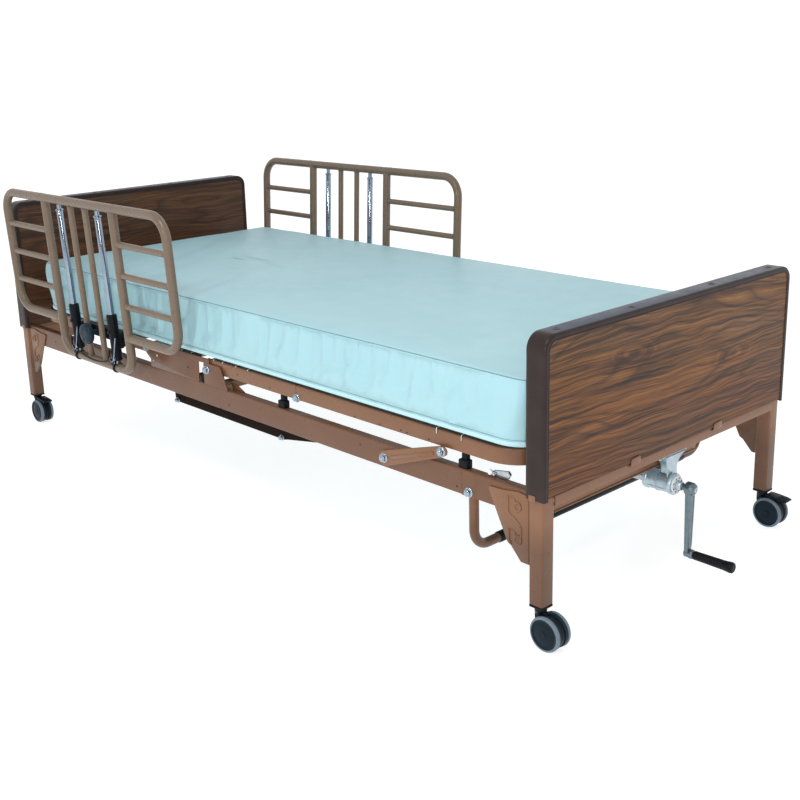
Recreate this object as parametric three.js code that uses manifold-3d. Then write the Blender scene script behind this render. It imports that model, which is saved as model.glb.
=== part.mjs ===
// Adjustable hospital bed: panel ends on telescoping legs with casters, a
// hand crank for the height, a hinged spring deck with an inner mattress in
// hinged sections, and two half-length sliding side rails.
// Millimetres, +Z up, +X from the head end to the foot end, floor at z = 0.
import * as THREE from 'three';
import * as BufferGeometryUtils from 'three/addons/utils/BufferGeometryUtils.js';
import Module from 'manifold-3d';

const wasm = await Module();
wasm.setup();

// ---------------------------------------------------------------- dimensions
const LENGTH = 2235;            // over the outer faces of the two end panels
const WIDTH = 914;              // panel width
const HX = LENGTH / 2;
const HY = WIDTH / 2;
const SHIFT_X = -77;            // puts the origin under the middle of the bounding box

const PANEL_T = 50;             // panel thickness with its edge trim
const PANEL_Z0 = 330;
const FOOT_PANEL_Z1 = 663;
const HEAD_PANEL_Z1 = 735;
const TRIM_T = 9;
const TRIM_R = 34;              // rounded upper corners

const LEG_W = 36;               // outer leg tube, square
const LEG_WALL = 2.5;
const LEG_Z0 = 93;
const LEG_Z1 = 598;
const LEG_X = HX - 8 - LEG_W / 2;
const LEG_Y = HY - 6 - LEG_W / 2;
const INNER_W = 30;
const INNER_Z0 = 89;
const INNER_Z1 = 452;

const WHEEL_R = 38;
const CASTER_TRAIL = 25;
const GEAR_Z = 234;

const RAIL_Z0 = 275;            // base side rail, C channel
const RAIL_Z1 = 333;
const RAIL_Y = 443;             // outer face of its web
const RAIL_T = 3;
const RAIL_FLANGE = 20;
const RAIL_X = 1062;

const DECK_Y = 437;             // outer face of the deck side members
const DECK_Z0 = 367;
const DECK_Z1 = 405;
const DECK_T = 3;
const DECK_FLANGE = 26;
const DECK_HEAD_X = -1000;
const DECK_FOOT_X = 1047;
const DECK_CORNER_R = 90;
const BACK_PIVOT = [-350, 385];
const THIGH_PIVOT = [-52, 373];
const KNEE_PIVOT = [324, 372];
const LINK_LOW = [646, 301];
const LINK_HIGH = [829, 360];

const MATT_Z0 = 413;
const MATT_Z1 = 563;
const MATT_Y = 444;
const MATT_HEAD_X = -966;
const MATT_FOOT_X = 1062;
const MATT_R = 75;
const BACK_ANGLE = 65;          // degrees, upper limit of the back section
const THIGH_ANGLE = 35;

const SR_X = { near: -529, far: -552 };     // middle of each side rail
const SR_HALF = { near: [449, 449], far: [460, 515] };   // tube centre lines of its head and foot ends; the end loops telescope
const SR_TOP = 788;
const SR_LOOP = 423;
const SR_BOTTOM = 321;
const SR_THICK_X = 190;
const SR_POST_X = 108;
const SR_THIN_X = 41;
const SR_R = 13;
const SR_BAR_R = 9;
const SR_POST_R = 9.5;
const SR_Y = 497;
const SR_PIVOT_Z = 345;
const SR_LEAN = 3 * Math.PI / 180;

// ------------------------------------------------------------------- helpers
function solidOf(geometry) {
  const g = geometry.index ? geometry.toNonIndexed() : geometry.clone();
  for (const name of Object.keys(g.attributes)) if (name !== 'position') g.deleteAttribute(name);
  const merged = BufferGeometryUtils.mergeVertices(g, 1e-3);
  const mesh = new wasm.Mesh({
    numProp: 3,
    vertProperties: new Float32Array(merged.attributes.position.array),
    triVerts: new Uint32Array(merged.index.array),
  });
  return new wasm.Manifold(mesh);
}

function geometryOf(solid) {
  const mesh = solid.getMesh();
  const g = new THREE.BufferGeometry();
  g.setAttribute('position', new THREE.BufferAttribute(new Float32Array(mesh.vertProperties), 3));
  g.setIndex(new THREE.BufferAttribute(new Uint32Array(mesh.triVerts), 1));
  g.computeVertexNormals();
  return g;
}

const join = (...parts) => parts.map((p) => (p.isBufferGeometry ? solidOf(p) : p)).reduce((a, b) => a.add(b));
const cut = (body, ...tools) => tools.map((p) => (p.isBufferGeometry ? solidOf(p) : p))
  .reduce((a, b) => a.subtract(b), body.isBufferGeometry ? solidOf(body) : body);

function box(x0, x1, y0, y1, z0, z1) {
  const g = new THREE.BoxGeometry(x1 - x0, y1 - y0, z1 - z0);
  g.translate((x0 + x1) / 2, (y0 + y1) / 2, (z0 + z1) / 2);
  return g;
}

// cylinder or cone from point a to point b
function rod(a, b, r0, r1 = r0, sides = 12, turn = 0) {
  const A = new THREE.Vector3(...a);
  const B = new THREE.Vector3(...b);
  const d = B.clone().sub(A);
  const g = new THREE.CylinderGeometry(r1, r0, d.length(), sides);
  g.rotateY(turn);
  g.applyQuaternion(new THREE.Quaternion().setFromUnitVectors(new THREE.Vector3(0, 1, 0), d.clone().normalize()));
  g.translate(...A.add(B).multiplyScalar(0.5).toArray());
  return g;
}

// a path of straight runs and round corners, sampled only where it bends
class BentPath extends THREE.Curve {
  constructor(corners, radius, steps = 4) {
    super();
    const P = corners.map((c) => new THREE.Vector3(...c));
    const pts = [P[0]];
    for (let i = 1; i < P.length - 1; i++) {
      const u = P[i - 1].clone().sub(P[i]).normalize();
      const v = P[i + 1].clone().sub(P[i]).normalize();
      const angle = Math.acos(THREE.MathUtils.clamp(u.dot(v), -1, 1));
      const cutLength = radius / Math.tan(angle / 2);
      const mid = u.clone().add(v).normalize().multiplyScalar(radius / Math.sin(angle / 2)).add(P[i]);
      const a = P[i].clone().addScaledVector(u, cutLength).sub(mid);
      const b = P[i].clone().addScaledVector(v, cutLength).sub(mid);
      const sweep = a.angleTo(b);
      for (let k = 0; k <= steps; k++) {
        const t = k / steps;
        const p = a.clone().multiplyScalar(Math.sin((1 - t) * sweep) / Math.sin(sweep))
          .addScaledVector(b, Math.sin(t * sweep) / Math.sin(sweep));
        pts.push(p.add(mid));
      }
    }
    pts.push(P[P.length - 1]);
    this.pts = pts;
  }
  get steps() { return this.pts.length - 1; }
  getPoint(t) { return this.getPointAt(t); }
  getPointAt(t) {
    const f = t * (this.pts.length - 1);
    const i = Math.min(Math.floor(f), this.pts.length - 2);
    return this.pts[i].clone().lerp(this.pts[i + 1], f - i);
  }
  getSpacedPoints() { return this.pts.map((p) => p.clone()); }
  getTangentAt(t) {
    const i = Math.round(t * (this.pts.length - 1));
    const a = this.pts[Math.max(i - 1, 0)];
    const b = this.pts[Math.min(i + 1, this.pts.length - 1)];
    const here = this.pts[i];
    const d1 = here.clone().sub(a);
    const d2 = b.clone().sub(here);
    if (d1.lengthSq() > 0) d1.normalize();
    if (d2.lengthSq() > 0) d2.normalize();
    return d1.add(d2).normalize();
  }
}

function tube(corners, bend, r, sides = 10, steps = 4) {
  const path = new BentPath(corners, bend, steps);
  const ring = [];
  for (let i = 0; i < sides; i++) {
    const a = ((i + 0.5) / sides) * 2 * Math.PI;
    ring.push(new THREE.Vector2(Math.cos(a) * r, Math.sin(a) * r));
  }
  const g = new THREE.ExtrudeGeometry(new THREE.Shape(ring), { steps: path.steps, extrudePath: path });
  return g;
}

// polygon in the XZ plane, extruded along Y
function plateXZ(points, y0, y1, holes = []) {
  const shape = new THREE.Shape(points.map(([x, z]) => new THREE.Vector2(x, z)));
  for (const h of holes) shape.holes.push(new THREE.Path(h.map(([x, z]) => new THREE.Vector2(x, z))));
  const g = new THREE.ExtrudeGeometry(shape, { depth: y1 - y0, bevelEnabled: false });
  g.rotateX(Math.PI / 2);       // (x, y, depth) -> (x, -depth, y)
  g.translate(0, y1, 0);
  return g;
}

// polygon in the XY plane, extruded along Z
function plateXY(points, z0, z1) {
  const shape = new THREE.Shape(points.map(([x, y]) => new THREE.Vector2(x, y)));
  const g = new THREE.ExtrudeGeometry(shape, { depth: z1 - z0, bevelEnabled: false });
  g.translate(0, 0, z0);
  return g;
}

// polygon in the YZ plane, extruded along X
function plateYZ(points, x0, x1) {
  const shape = new THREE.Shape(points.map(([y, z]) => new THREE.Vector2(y, z)));
  const g = new THREE.ExtrudeGeometry(shape, { depth: x1 - x0, bevelEnabled: false });
  g.applyMatrix4(new THREE.Matrix4().set(0, 0, 1, x0, 1, 0, 0, 0, 0, 1, 0, 0, 0, 0, 0, 1));
  return g;
}

const arc = (cx, cy, r, a0, a1, n) => Array.from({ length: n + 1 }, (_, i) => {
  const a = THREE.MathUtils.degToRad(a0 + ((a1 - a0) * i) / n);
  return [cx + r * Math.cos(a), cy + r * Math.sin(a)];
});
const disc = (cx, cy, r, n = 12) => arc(cx, cy, r, 180 / n, 180 / n + 360 * (1 - 1 / n), n - 1);

const finish = {
  brown_steel: new THREE.MeshStandardMaterial({ color: 0x8b6c5a, roughness: 0.45, metalness: 0.15 }),
  taupe_steel: new THREE.MeshStandardMaterial({ color: 0x7a685c, roughness: 0.42, metalness: 0.15 }),
  walnut: new THREE.MeshStandardMaterial({ color: 0x6e4326, roughness: 0.5, metalness: 0 }),
  dark_trim: new THREE.MeshStandardMaterial({ color: 0x423735, roughness: 0.4, metalness: 0 }),
  aqua_vinyl: new THREE.MeshStandardMaterial({ color: 0xa8d0d6, roughness: 0.45, metalness: 0 }),
  chrome: new THREE.MeshStandardMaterial({ color: 0xd5d8db, roughness: 0.12, metalness: 1 }),
  zinc: new THREE.MeshStandardMaterial({ color: 0xa9adb0, roughness: 0.4, metalness: 0.9 }),
  cast: new THREE.MeshStandardMaterial({ color: 0x9aa5ab, roughness: 0.45, metalness: 0.9 }),
  black_plastic: new THREE.MeshStandardMaterial({ color: 0x15181b, roughness: 0.45, metalness: 0 }),
  black_grip: new THREE.MeshStandardMaterial({ color: 0x101416, roughness: 0.6, metalness: 0 }),
  grey_tread: new THREE.MeshStandardMaterial({ color: 0x7d8790, roughness: 0.55, metalness: 0 }),
};

const bed = new THREE.Group();
bed.position.x = SHIFT_X;

function add(name, shape, material, parent = bed) {
  const mesh = new THREE.Mesh(shape.isBufferGeometry ? shape : geometryOf(shape), finish[material]);
  mesh.name = name;
  parent.add(mesh);
  return mesh;
}

// ------------------------------------------------------------------ bed ends
// e = +1 foot, -1 head.  Legs, cross beam and the corner plates are one weldment.
for (const [end, e, panelTop] of [['foot', 1, FOOT_PANEL_Z1], ['head', -1, HEAD_PANEL_Z1]]) {
  const X = (a, b) => (e > 0 ? [a, b] : [-b, -a]);
  const parts = [];
  for (const s of [-1, 1]) {
    const y0 = s * LEG_Y - LEG_W / 2;
    const x0 = LEG_X - LEG_W / 2;
    parts.push(cut(
      box(...X(x0, x0 + LEG_W), y0, y0 + LEG_W, LEG_Z0, LEG_Z1),
      box(...X(x0 + LEG_WALL, x0 + LEG_W - LEG_WALL), y0 + LEG_WALL, y0 + LEG_W - LEG_WALL, LEG_Z0 - 5, LEG_Z1 - 4),
    ));
    const outline = [[958, 318], [1013, 208], [1049, 175], [x0 + 1, 175], [x0 + 1, 322], [1040, 326]]
      .map(([x, z]) => [e * x, z]);
    if (e < 0) outline.reverse();
    const [p0, p1] = s < 0 ? [-(RAIL_Y + 3.6), -(RAIL_Y + 0.6)] : [RAIL_Y + 0.6, RAIL_Y + 3.6];
    parts.push(plateXZ(outline, p0, p1));
  }
  const yi = LEG_Y - LEG_W / 2 + 0.5;
  parts.push(box(...X(1072, 1112.5), -yi, yi, 322, 329.4));
  parts.push(box(...X(1109, 1112.5), -yi, yi, 306, 323));
  parts.push(plateYZ([[-yi, 268], [140, 268], [163, 322.5], [-yi, 322.5]], ...X(1072, 1075)));
  add(`${end}_end_frame`, parts.map((p) => (p.isBufferGeometry ? solidOf(p) : p)).reduce((a, b) => a.add(b)), 'brown_steel');

  // board with pockets for the two leg tubes
  const bt = panelTop - TRIM_T - 0.4;
  const by = HY - TRIM_T - 0.4;
  const br = TRIM_R - TRIM_T;
  const outline = [[-by, PANEL_Z0], [by, PANEL_Z0], ...arc(by - br, bt - br, br, 0, 90, 4), ...arc(-by + br, bt - br, br, 90, 180, 4)];
  let board = solidOf(plateYZ(outline, ...X(HX - PANEL_T + 1.5, HX - 1.5)));
  for (const s of [-1, 1]) {
    const w = LEG_W / 2 + 0.6;
    board = board.subtract(solidOf(box(...X(LEG_X - w, LEG_X + w), s * LEG_Y - w, s * LEG_Y + w, PANEL_Z0 - 10, LEG_Z1 + 1)));
  }
  add(`${end}_board`, board, 'walnut');

  const ti = HY - TRIM_T;
  const tr = TRIM_R - TRIM_T;
  const trim = [[-HY, PANEL_Z0 - 6], ...arc(-HY + TRIM_R, panelTop - TRIM_R, TRIM_R, 180, 90, 4),
    ...arc(HY - TRIM_R, panelTop - TRIM_R, TRIM_R, 90, 0, 4), [HY, PANEL_Z0 - 6], [ti, PANEL_Z0 - 6],
    ...arc(ti - tr, panelTop - TRIM_T - tr, tr, 0, 90, 4),
    ...arc(-ti + tr, panelTop - TRIM_T - tr, tr, 90, 180, 4), [-ti, PANEL_Z0 - 6]].reverse();
  // the legs stand 3 mm inside the trim, so its foot is narrowed beside them
  let cap = solidOf(plateYZ(trim, ...X(HX - PANEL_T, HX)));
  for (const s of [-1, 1]) {
    const w = LEG_W / 2 + 0.5;
    cap = cap.subtract(solidOf(box(...X(LEG_X - w, LEG_X + w), s * LEG_Y - w, s * LEG_Y + w, PANEL_Z0 - 20, LEG_Z1 + 1)));
  }
  add(`${end}_trim`, cap, 'dark_trim');

  // right-angle gearbox hung from the cross beam
  const gx = (x) => e * x;
  const gear = join(
    rod([gx(1042), 0, GEAR_Z], [gx(e > 0 ? 1118 : 1106), 0, GEAR_Z], 25, 25, 16),
    rod([gx(e > 0 ? 1118 : 1106), 0, GEAR_Z], [gx(e > 0 ? 1136 : 1117), 0, GEAR_Z], 25, 16, 16),
    plateYZ([[-24, GEAR_Z - 5], [24, GEAR_Z - 5], [58, 292], [58, 303], [-34, 303], [-34, 292]], ...X(1080, 1104)),
    rod([gx(1092), 20, 250], [gx(1092), 44, 300], 16, 13, 12),
  );
  add(`${end}_gearbox`, gear, 'cast');
  add(`${end}_cross_shaft`, rod([gx(1094), -(yi - 2), 313], [gx(1094), yi - 2, 313], 5, 5, 8), 'zinc');
}

// hand crank at the foot gearbox
const crank = join(
  rod([1137, 0, GEAR_Z], [1150, 0, GEAR_Z], 7.5, 7.5, 12),
  rod([1146, 0, GEAR_Z], [1170, 0, GEAR_Z], 15, 15, 16),
  plateYZ([[-14, GEAR_Z], [14, GEAR_Z], [9.5, 82], [-9.5, 82]], 1149, 1162),
  rod([1146, 0, 80], [1172, 0, 80], 12, 12, 14),
  rod([1170, 0, 80], [1256, 0, 80], 4.5, 4.5, 10),
);
add('crank_arm', crank, 'cast');
add('crank_grip', cut(
  new THREE.LatheGeometry([[0, 1173], [9.5, 1173], [10.5, 1176], [11.5, 1240], [12.5, 1262], [12.5, 1269], [10.5, 1272], [0, 1272]]
    .map(([r, x]) => new THREE.Vector2(r, x)), 14).rotateZ(-Math.PI / 2).translate(0, 0, 80),
  rod([1165, 0, 80], [1262, 0, 80], 5.2, 5.2, 10),
), 'black_grip');

// square drive shaft carrying the crank's turning to the head end
add('drive_shaft', join(
  rod([-1041, 0, GEAR_Z], [-1000, 0, GEAR_Z], 13, 13, 12),
  rod([-1005, 0, GEAR_Z], [60, 0, GEAR_Z], 11, 11, 4, Math.PI / 4),
  rod([40, 0, GEAR_Z], [1005, 0, GEAR_Z], 14, 14, 4, Math.PI / 4),
  rod([1000, 0, GEAR_Z], [1041, 0, GEAR_Z], 13, 13, 12),
), 'zinc');

// ------------------------------------------------- inner legs and the casters
const corners = [['foot_near', 1, -1, false], ['foot_far', 1, 1, true], ['head_near', -1, -1, true], ['head_far', -1, 1, false]];
for (const [tag, ex, ey, braked] of corners) {
  const cx = ex * LEG_X;
  const cy = ey * LEG_Y;
  add(`inner_leg_${tag}`, cut(
    box(cx - INNER_W / 2, cx + INNER_W / 2, cy - INNER_W / 2, cy + INNER_W / 2, INNER_Z0, INNER_Z1),
    rod([cx, cy, INNER_Z0 - 5], [cx, cy, INNER_Z0 + 34], 6.2, 6.2, 12),
  ), 'brown_steel');

  const caster = new THREE.Group();
  caster.position.set(cx, cy, 0);
  bed.add(caster);
  const fin = plateXZ([[-10, 80], ...arc(0, 62, 14, 180, 235, 3), ...arc(CASTER_TRAIL, WHEEL_R, 13, 215, 395, 8),
    [CASTER_TRAIL + 9, 66], [12, 80]], -3.6, 3.6);
  add(`caster_fork_${tag}`, cut(join(
    fin,
    rod([0, 0, 77.5], [0, 0, 86], 13, 13, 14),
    rod([0, 0, 85], [0, 0, INNER_Z0 + 32], 5.6, 5.6, 12),
  ), rod([CASTER_TRAIL, -10, WHEEL_R], [CASTER_TRAIL, 10, WHEEL_R], 4.6, 4.6, 12)), 'black_plastic', caster);

  const wheel = (y0, y1) => {
    const c = 3;
    const R = WHEEL_R / Math.cos(Math.PI / 20);         // flats touch the floor
    const g = new THREE.LatheGeometry([[0, y0], [R - c, y0], [R, y0 + c], [R, y1 - c], [R - c, y1], [0, y1]]
      .map(([r, y]) => new THREE.Vector2(r, y)), 20);
    g.rotateY(Math.PI / 20);
    return g;
  };
  const wheels = join(wheel(-22, -4.6), wheel(4.6, 22), new THREE.CylinderGeometry(4, 4, 20, 12));
  add(`caster_wheels_${tag}`, geometryOf(wheels).translate(CASTER_TRAIL, 0, WHEEL_R), 'grey_tread', caster);
  if (braked) {
    add(`brake_pedal_${tag}`, plateXZ([[17, 79.5], [30, 79], [56, 76.5], [70, 74], [71, 77], [56, 80.5], [30, 83], [17, 83.5]], -15, 15), 'black_plastic', caster);
  }
}

// ------------------------------------------------------------ base side rails
for (const [side, s] of [['near', -1], ['far', 1]]) {
  const Y = (a, b) => (s < 0 ? [-b, -a] : [a, b]);
  const web = Y(RAIL_Y - RAIL_T, RAIL_Y);
  const flange = Y(RAIL_Y - RAIL_FLANGE - RAIL_T, RAIL_Y - 1);
  add(`base_rail_${side}`, join(
    box(-RAIL_X, RAIL_X, ...web, RAIL_Z0, RAIL_Z1),
    box(-RAIL_X, RAIL_X, ...flange, RAIL_Z1 - RAIL_T, RAIL_Z1),
    // the lower flange is notched where the bail hangs through it
    box(-RAIL_X, 882, ...flange, RAIL_Z0, RAIL_Z0 + RAIL_T),
    box(922, RAIL_X, ...flange, RAIL_Z0, RAIL_Z0 + RAIL_T),
    // fixed seat plate with its ear for the back pivot
    plateXZ([[-368, 376], [-330, 352], [-330, 332], [-76, 332], [-92, DECK_Z1], [-330, DECK_Z1], [-362, 400]], ...web),
    box(-322, -92, ...flange, DECK_Z1 - 3, DECK_Z1),
    // shallow stiffening channel hung under the rail
    plateXZ([[-240, 276], [-238, 252], [-230, 244], [252, 244], [266, 248], [430, 276]], ...Y(RAIL_Y - 15, RAIL_Y - 12)),
    box(-228, 250, ...Y(RAIL_Y - 38, RAIL_Y - 13), 244, 247),
    // plate for the thigh pivot
    plateXZ([[-66, 332], [80, 332], [56, 366], [-34, 392], [-66, 392]], ...web),
  ), 'brown_steel');
}

// cross members under the motor
add('cross_member_a', box(-262, -232, -(RAIL_Y - 3.4), RAIL_Y - 3.4, 278.4, 300), 'brown_steel');
add('cross_member_b', box(-150, -120, -(RAIL_Y - 3.4), RAIL_Y - 3.4, 278.4, 300), 'brown_steel');

// twin lift motor: one housing, a rod out of each end
const ROD_Z = 317.5;
add('lift_motor', cut(join(
  plateXZ([[-286, 303], [-274, 300.4], [-110, 300.4], [-98, 303], [-98, 332], [-110, 345], [-274, 345], [-286, 332]], -36, 36),
  rod([-190, 30, 322], [-190, 74, 322], 20, 20, 14),
), rod([-300, 0, ROD_Z], [-186, 0, ROD_Z], 10, 10, 10), rod([-90, 0, ROD_Z], [-152, 0, ROD_Z], 10, 10, 10)), 'black_plastic');
const fork = (x0, x1, dir) => join(
  box(Math.min(x0, x0 + dir * 4), Math.max(x0, x0 + dir * 4), -12, 12, ROD_Z - 10, ROD_Z + 10),
  box(Math.min(x0, x1), Math.max(x0, x1), -12, -7.5, ROD_Z - 10, ROD_Z + 10),
  box(Math.min(x0, x1), Math.max(x0, x1), 7.5, 12, ROD_Z - 10, ROD_Z + 10),
);
add('back_lift_rod', join(rod([-290, 0, ROD_Z], [-190, 0, ROD_Z], 9.4, 9.4, 10), fork(-288, -322, -1)), 'zinc');
add('knee_lift_rod', join(rod([-94, 0, ROD_Z], [-148, 0, ROD_Z], 9.4, 9.4, 10), fork(-96, -62, 1)), 'zinc');

// --------------------------------------------------------------- hinged deck
// outline of a U in plan: two side members and a rounded cross member at x1
function uPlan(x0, x1, halfWidth, thickness, radius) {
  const d = Math.sign(x1 - x0);
  const ri = radius - thickness;
  const outer = [[x0, -halfWidth], ...arc(x1 - d * radius, -halfWidth + radius, radius, -90, d > 0 ? 0 : -180, 6),
    ...arc(x1 - d * radius, halfWidth - radius, radius, d > 0 ? 0 : 180, 90, 6), [x0, halfWidth]];
  const inner = [[x0, halfWidth - thickness], ...arc(x1 - d * radius, halfWidth - radius, ri, 90, d > 0 ? 0 : 180, 6),
    ...arc(x1 - d * radius, -halfWidth + radius, ri, d > 0 ? 0 : -180, -90, 6), [x0, -halfWidth + thickness]];
  const loop = [...outer, ...inner];
  return d > 0 ? loop : loop.reverse();
}
const crossTube = (x, z, r) => rod([x, -(DECK_Y - 1.5), z], [x, DECK_Y - 1.5, z], r, r, 12);
const lever = ([px, pz], r, degrees) => {
  // arm hanging from a pivot tube, swung by the angle from straight down
  const a = THREE.MathUtils.degToRad(degrees);
  const ux = Math.sin(a);
  const uz = -Math.cos(a);
  const nx = Math.cos(a);
  const nz = Math.sin(a);
  const q = (along, across) => [px + ux * along + nx * across, pz + uz * along + nz * across];
  return plateXZ([q(4, -9), q(4, 9), q(r, 5.5), q(r + 7, 4), q(r + 7, -4), q(r, -5.5)].reverse(), -5, 5);
};

add('back_frame', join(
  plateXY(uPlan(-340, DECK_HEAD_X, DECK_Y, DECK_T, DECK_CORNER_R), DECK_Z0, DECK_Z1),
  plateXY(uPlan(-372, DECK_HEAD_X, DECK_Y, DECK_FLANGE, DECK_CORNER_R), DECK_Z1 - DECK_T, DECK_Z1),
  crossTube(BACK_PIVOT[0], BACK_PIVOT[1], 11),
  crossTube(-700, 386, 10),
  lever(BACK_PIVOT, 80, BACK_ANGLE / 2),
), 'brown_steel');

const sideMember = (x0, x1, s) => {
  const Y = (a, b) => (s < 0 ? [-b, -a] : [a, b]);
  return join(
    box(x0 - 18, x1, ...Y(DECK_Y - DECK_T, DECK_Y), DECK_Z0, DECK_Z1 - 8),
    box(x0 + 8, x1, ...Y(DECK_Y - DECK_T, DECK_Y), DECK_Z0, DECK_Z1),
    box(x0 + 8, x1, ...Y(DECK_Y - DECK_FLANGE, DECK_Y - 1), DECK_Z1 - DECK_T, DECK_Z1),
  );
};
add('thigh_frame', join(
  sideMember(-33, 311, -1), sideMember(-33, 311, 1),
  ...[-1, 1].map((s) => plateXZ([[300, 368], [316, 363], [332, 366], [334, 380], [312, 396], [300, 396]], ...(s < 0 ? [-DECK_Y, -DECK_Y + DECK_T] : [DECK_Y - DECK_T, DECK_Y]))),
  crossTube(THIGH_PIVOT[0], THIGH_PIVOT[1], 10),
  crossTube(296, 386, 10),
  lever(THIGH_PIVOT, (THIGH_PIVOT[1] - ROD_Z) / Math.cos(THREE.MathUtils.degToRad(THIGH_ANGLE / 2)), -THIGH_ANGLE / 2),
), 'brown_steel');

add('calf_frame', join(
  plateXY(uPlan(340, DECK_FOOT_X, DECK_Y, DECK_T, DECK_CORNER_R), DECK_Z0, DECK_Z1),
  plateXY(uPlan(340, DECK_FOOT_X, DECK_Y, DECK_FLANGE, DECK_CORNER_R), DECK_Z1 - DECK_T, DECK_Z1),
  // hinge leaves lapping inside the thigh members
  ...[-1, 1].map((s) => plateXZ([[314, 364], [380, 368], [380, 396], [336, 392], [314, 380]], ...(s < 0 ? [-DECK_Y + DECK_T + 0.5, -DECK_Y + 2 * DECK_T + 0.5] : [DECK_Y - 2 * DECK_T - 0.5, DECK_Y - DECK_T - 0.5]))),
  ...[-1, 1].map((s) => box(352, 380, ...(s < 0 ? [-DECK_Y + 1, -DECK_Y + 2 * DECK_T] : [DECK_Y - 2 * DECK_T, DECK_Y - 1]), 374, 390)),
  crossTube(366, 386, 10),
  crossTube(829, 386, 10),
), 'brown_steel');

// link-spring sheets, held a little inside the frames
const springY = DECK_Y - DECK_FLANGE - 12;
const sheet = (x0, x1) => box(x0, x1, -springY, springY, DECK_Z1 - 3, DECK_Z1 + 1);
add('back_springs', sheet(-936, -372), 'zinc');
add('seat_springs', sheet(-318, -92), 'zinc');
add('thigh_springs', sheet(-20, 300), 'zinc');
add('calf_springs', sheet(352, 984), 'zinc');

// arms that carry the calf section, one each side, outside the rails
for (const [side, s] of [['near', -1], ['far', 1]]) {
  const [lx, lz] = LINK_LOW;
  const [hx, hz] = LINK_HIGH;
  const a = Math.atan2(hz - lz, hx - lx);
  const ux = Math.cos(a);
  const uz = Math.sin(a);
  const q = (along, across) => [lx + ux * along - uz * across, lz + uz * along + ux * across];
  const D = Math.hypot(hx - lx, hz - lz);
  const Y = (p, r) => (s < 0 ? [-r, -p] : [p, r]);
  add(`calf_link_${side}`, join(
    plateXZ([q(-12, -16), q(6, -22), q(D - 10, -15), q(D + 12, -9), q(D + 17, 0), q(D + 12, 9), q(D, 14), q(0, 18), q(-12, 14), q(-17, 0)],
      ...Y(RAIL_Y + 1.5, RAIL_Y + 4.5)),
    plateXZ([q(6, -22), q(D - 10, -15), q(D - 10, -12), q(6, -19)], ...Y(RAIL_Y + 1.5, RAIL_Y + 12)),
  ), 'brown_steel');
}

// bail at the foot end, hanging from the base rails
add('foot_bail', tube([[902, -427, 304], [902, -427, 154], [902, 427, 154], [902, 427, 304]], 42, 11, 10, 5), 'brown_steel');

// ------------------------------------------------------------------ mattress
// plan outline with rounded corners where the section is an end one
function mattressPart(x0, x1, roundLow, roundHigh, slopeLow, slopeHigh) {
  const y = MATT_Y;
  const r = MATT_R;
  const pts = [];
  if (roundLow) pts.push(...arc(x0 + r, -y + r, r, 180, 270, 5)); else pts.push([x0 - 400, -y]);
  if (roundHigh) pts.push(...arc(x1 - r, -y + r, r, 270, 360, 5), ...arc(x1 - r, y - r, r, 0, 90, 5)); else pts.push([x1 + 400, -y], [x1 + 400, y]);
  if (roundLow) pts.push(...arc(x0 + r, y - r, r, 90, 180, 5)); else pts.push([x0 - 400, y]);
  let body = solidOf(plateXY(pts, MATT_Z0, MATT_Z1));
  if (slopeLow) body = body.subtract(solidOf(wedge(x0, slopeLow, -1)));
  if (slopeHigh) body = body.subtract(solidOf(wedge(x1, slopeHigh, 1)));
  return body;
}
// half space beyond a slanted face through (x at the deck height), leaning by degrees from upright
function wedge(x, [pivotZ, degrees], side) {
  const t = Math.tan(THREE.MathUtils.degToRad(degrees));
  const at = (z) => x - side * (z - pivotZ) * t;
  const z0 = MATT_Z0 - 40;
  const z1 = MATT_Z1 + 40;
  const far = x + side * 900;
  const pts = [[at(z0), z0], [far, z0], [far, z1], [at(z1), z1]];
  return plateXZ(side > 0 ? pts : pts.reverse(), -MATT_Y - 20, MATT_Y + 20);
}
const HB = BACK_ANGLE / 2 + 0.6;
const HT = THIGH_ANGLE / 2 + 0.6;
add('mattress_back', mattressPart(MATT_HEAD_X, BACK_PIVOT[0], true, false, null, [BACK_PIVOT[1], HB]), 'aqua_vinyl');
add('mattress_seat', mattressPart(BACK_PIVOT[0], THIGH_PIVOT[0], false, false, [BACK_PIVOT[1], HB], [THIGH_PIVOT[1], HT]), 'aqua_vinyl');
add('mattress_thigh', mattressPart(THIGH_PIVOT[0], KNEE_PIVOT[0] - 0.4, false, false, [THIGH_PIVOT[1], HT], [KNEE_PIVOT[1], 0]), 'aqua_vinyl');
add('mattress_calf', mattressPart(KNEE_PIVOT[0] + 0.4, MATT_FOOT_X, false, true, [KNEE_PIVOT[1], 0], null), 'aqua_vinyl');
// soft foam in the two folds
const fold = (x, pivotZ, degrees) => {
  const t = Math.tan(THREE.MathUtils.degToRad(degrees));
  const w = (z) => (z - pivotZ) * t - 0.6;
  return plateXZ([[x - w(MATT_Z0), MATT_Z0], [x + w(MATT_Z0), MATT_Z0], [x + w(MATT_Z1), MATT_Z1], [x - w(MATT_Z1), MATT_Z1]], -MATT_Y, MATT_Y);
};
add('mattress_fold_back', fold(BACK_PIVOT[0], BACK_PIVOT[1], HB), 'aqua_vinyl');
add('mattress_fold_thigh', fold(THIGH_PIVOT[0], THIGH_PIVOT[1], HT), 'aqua_vinyl');

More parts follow.
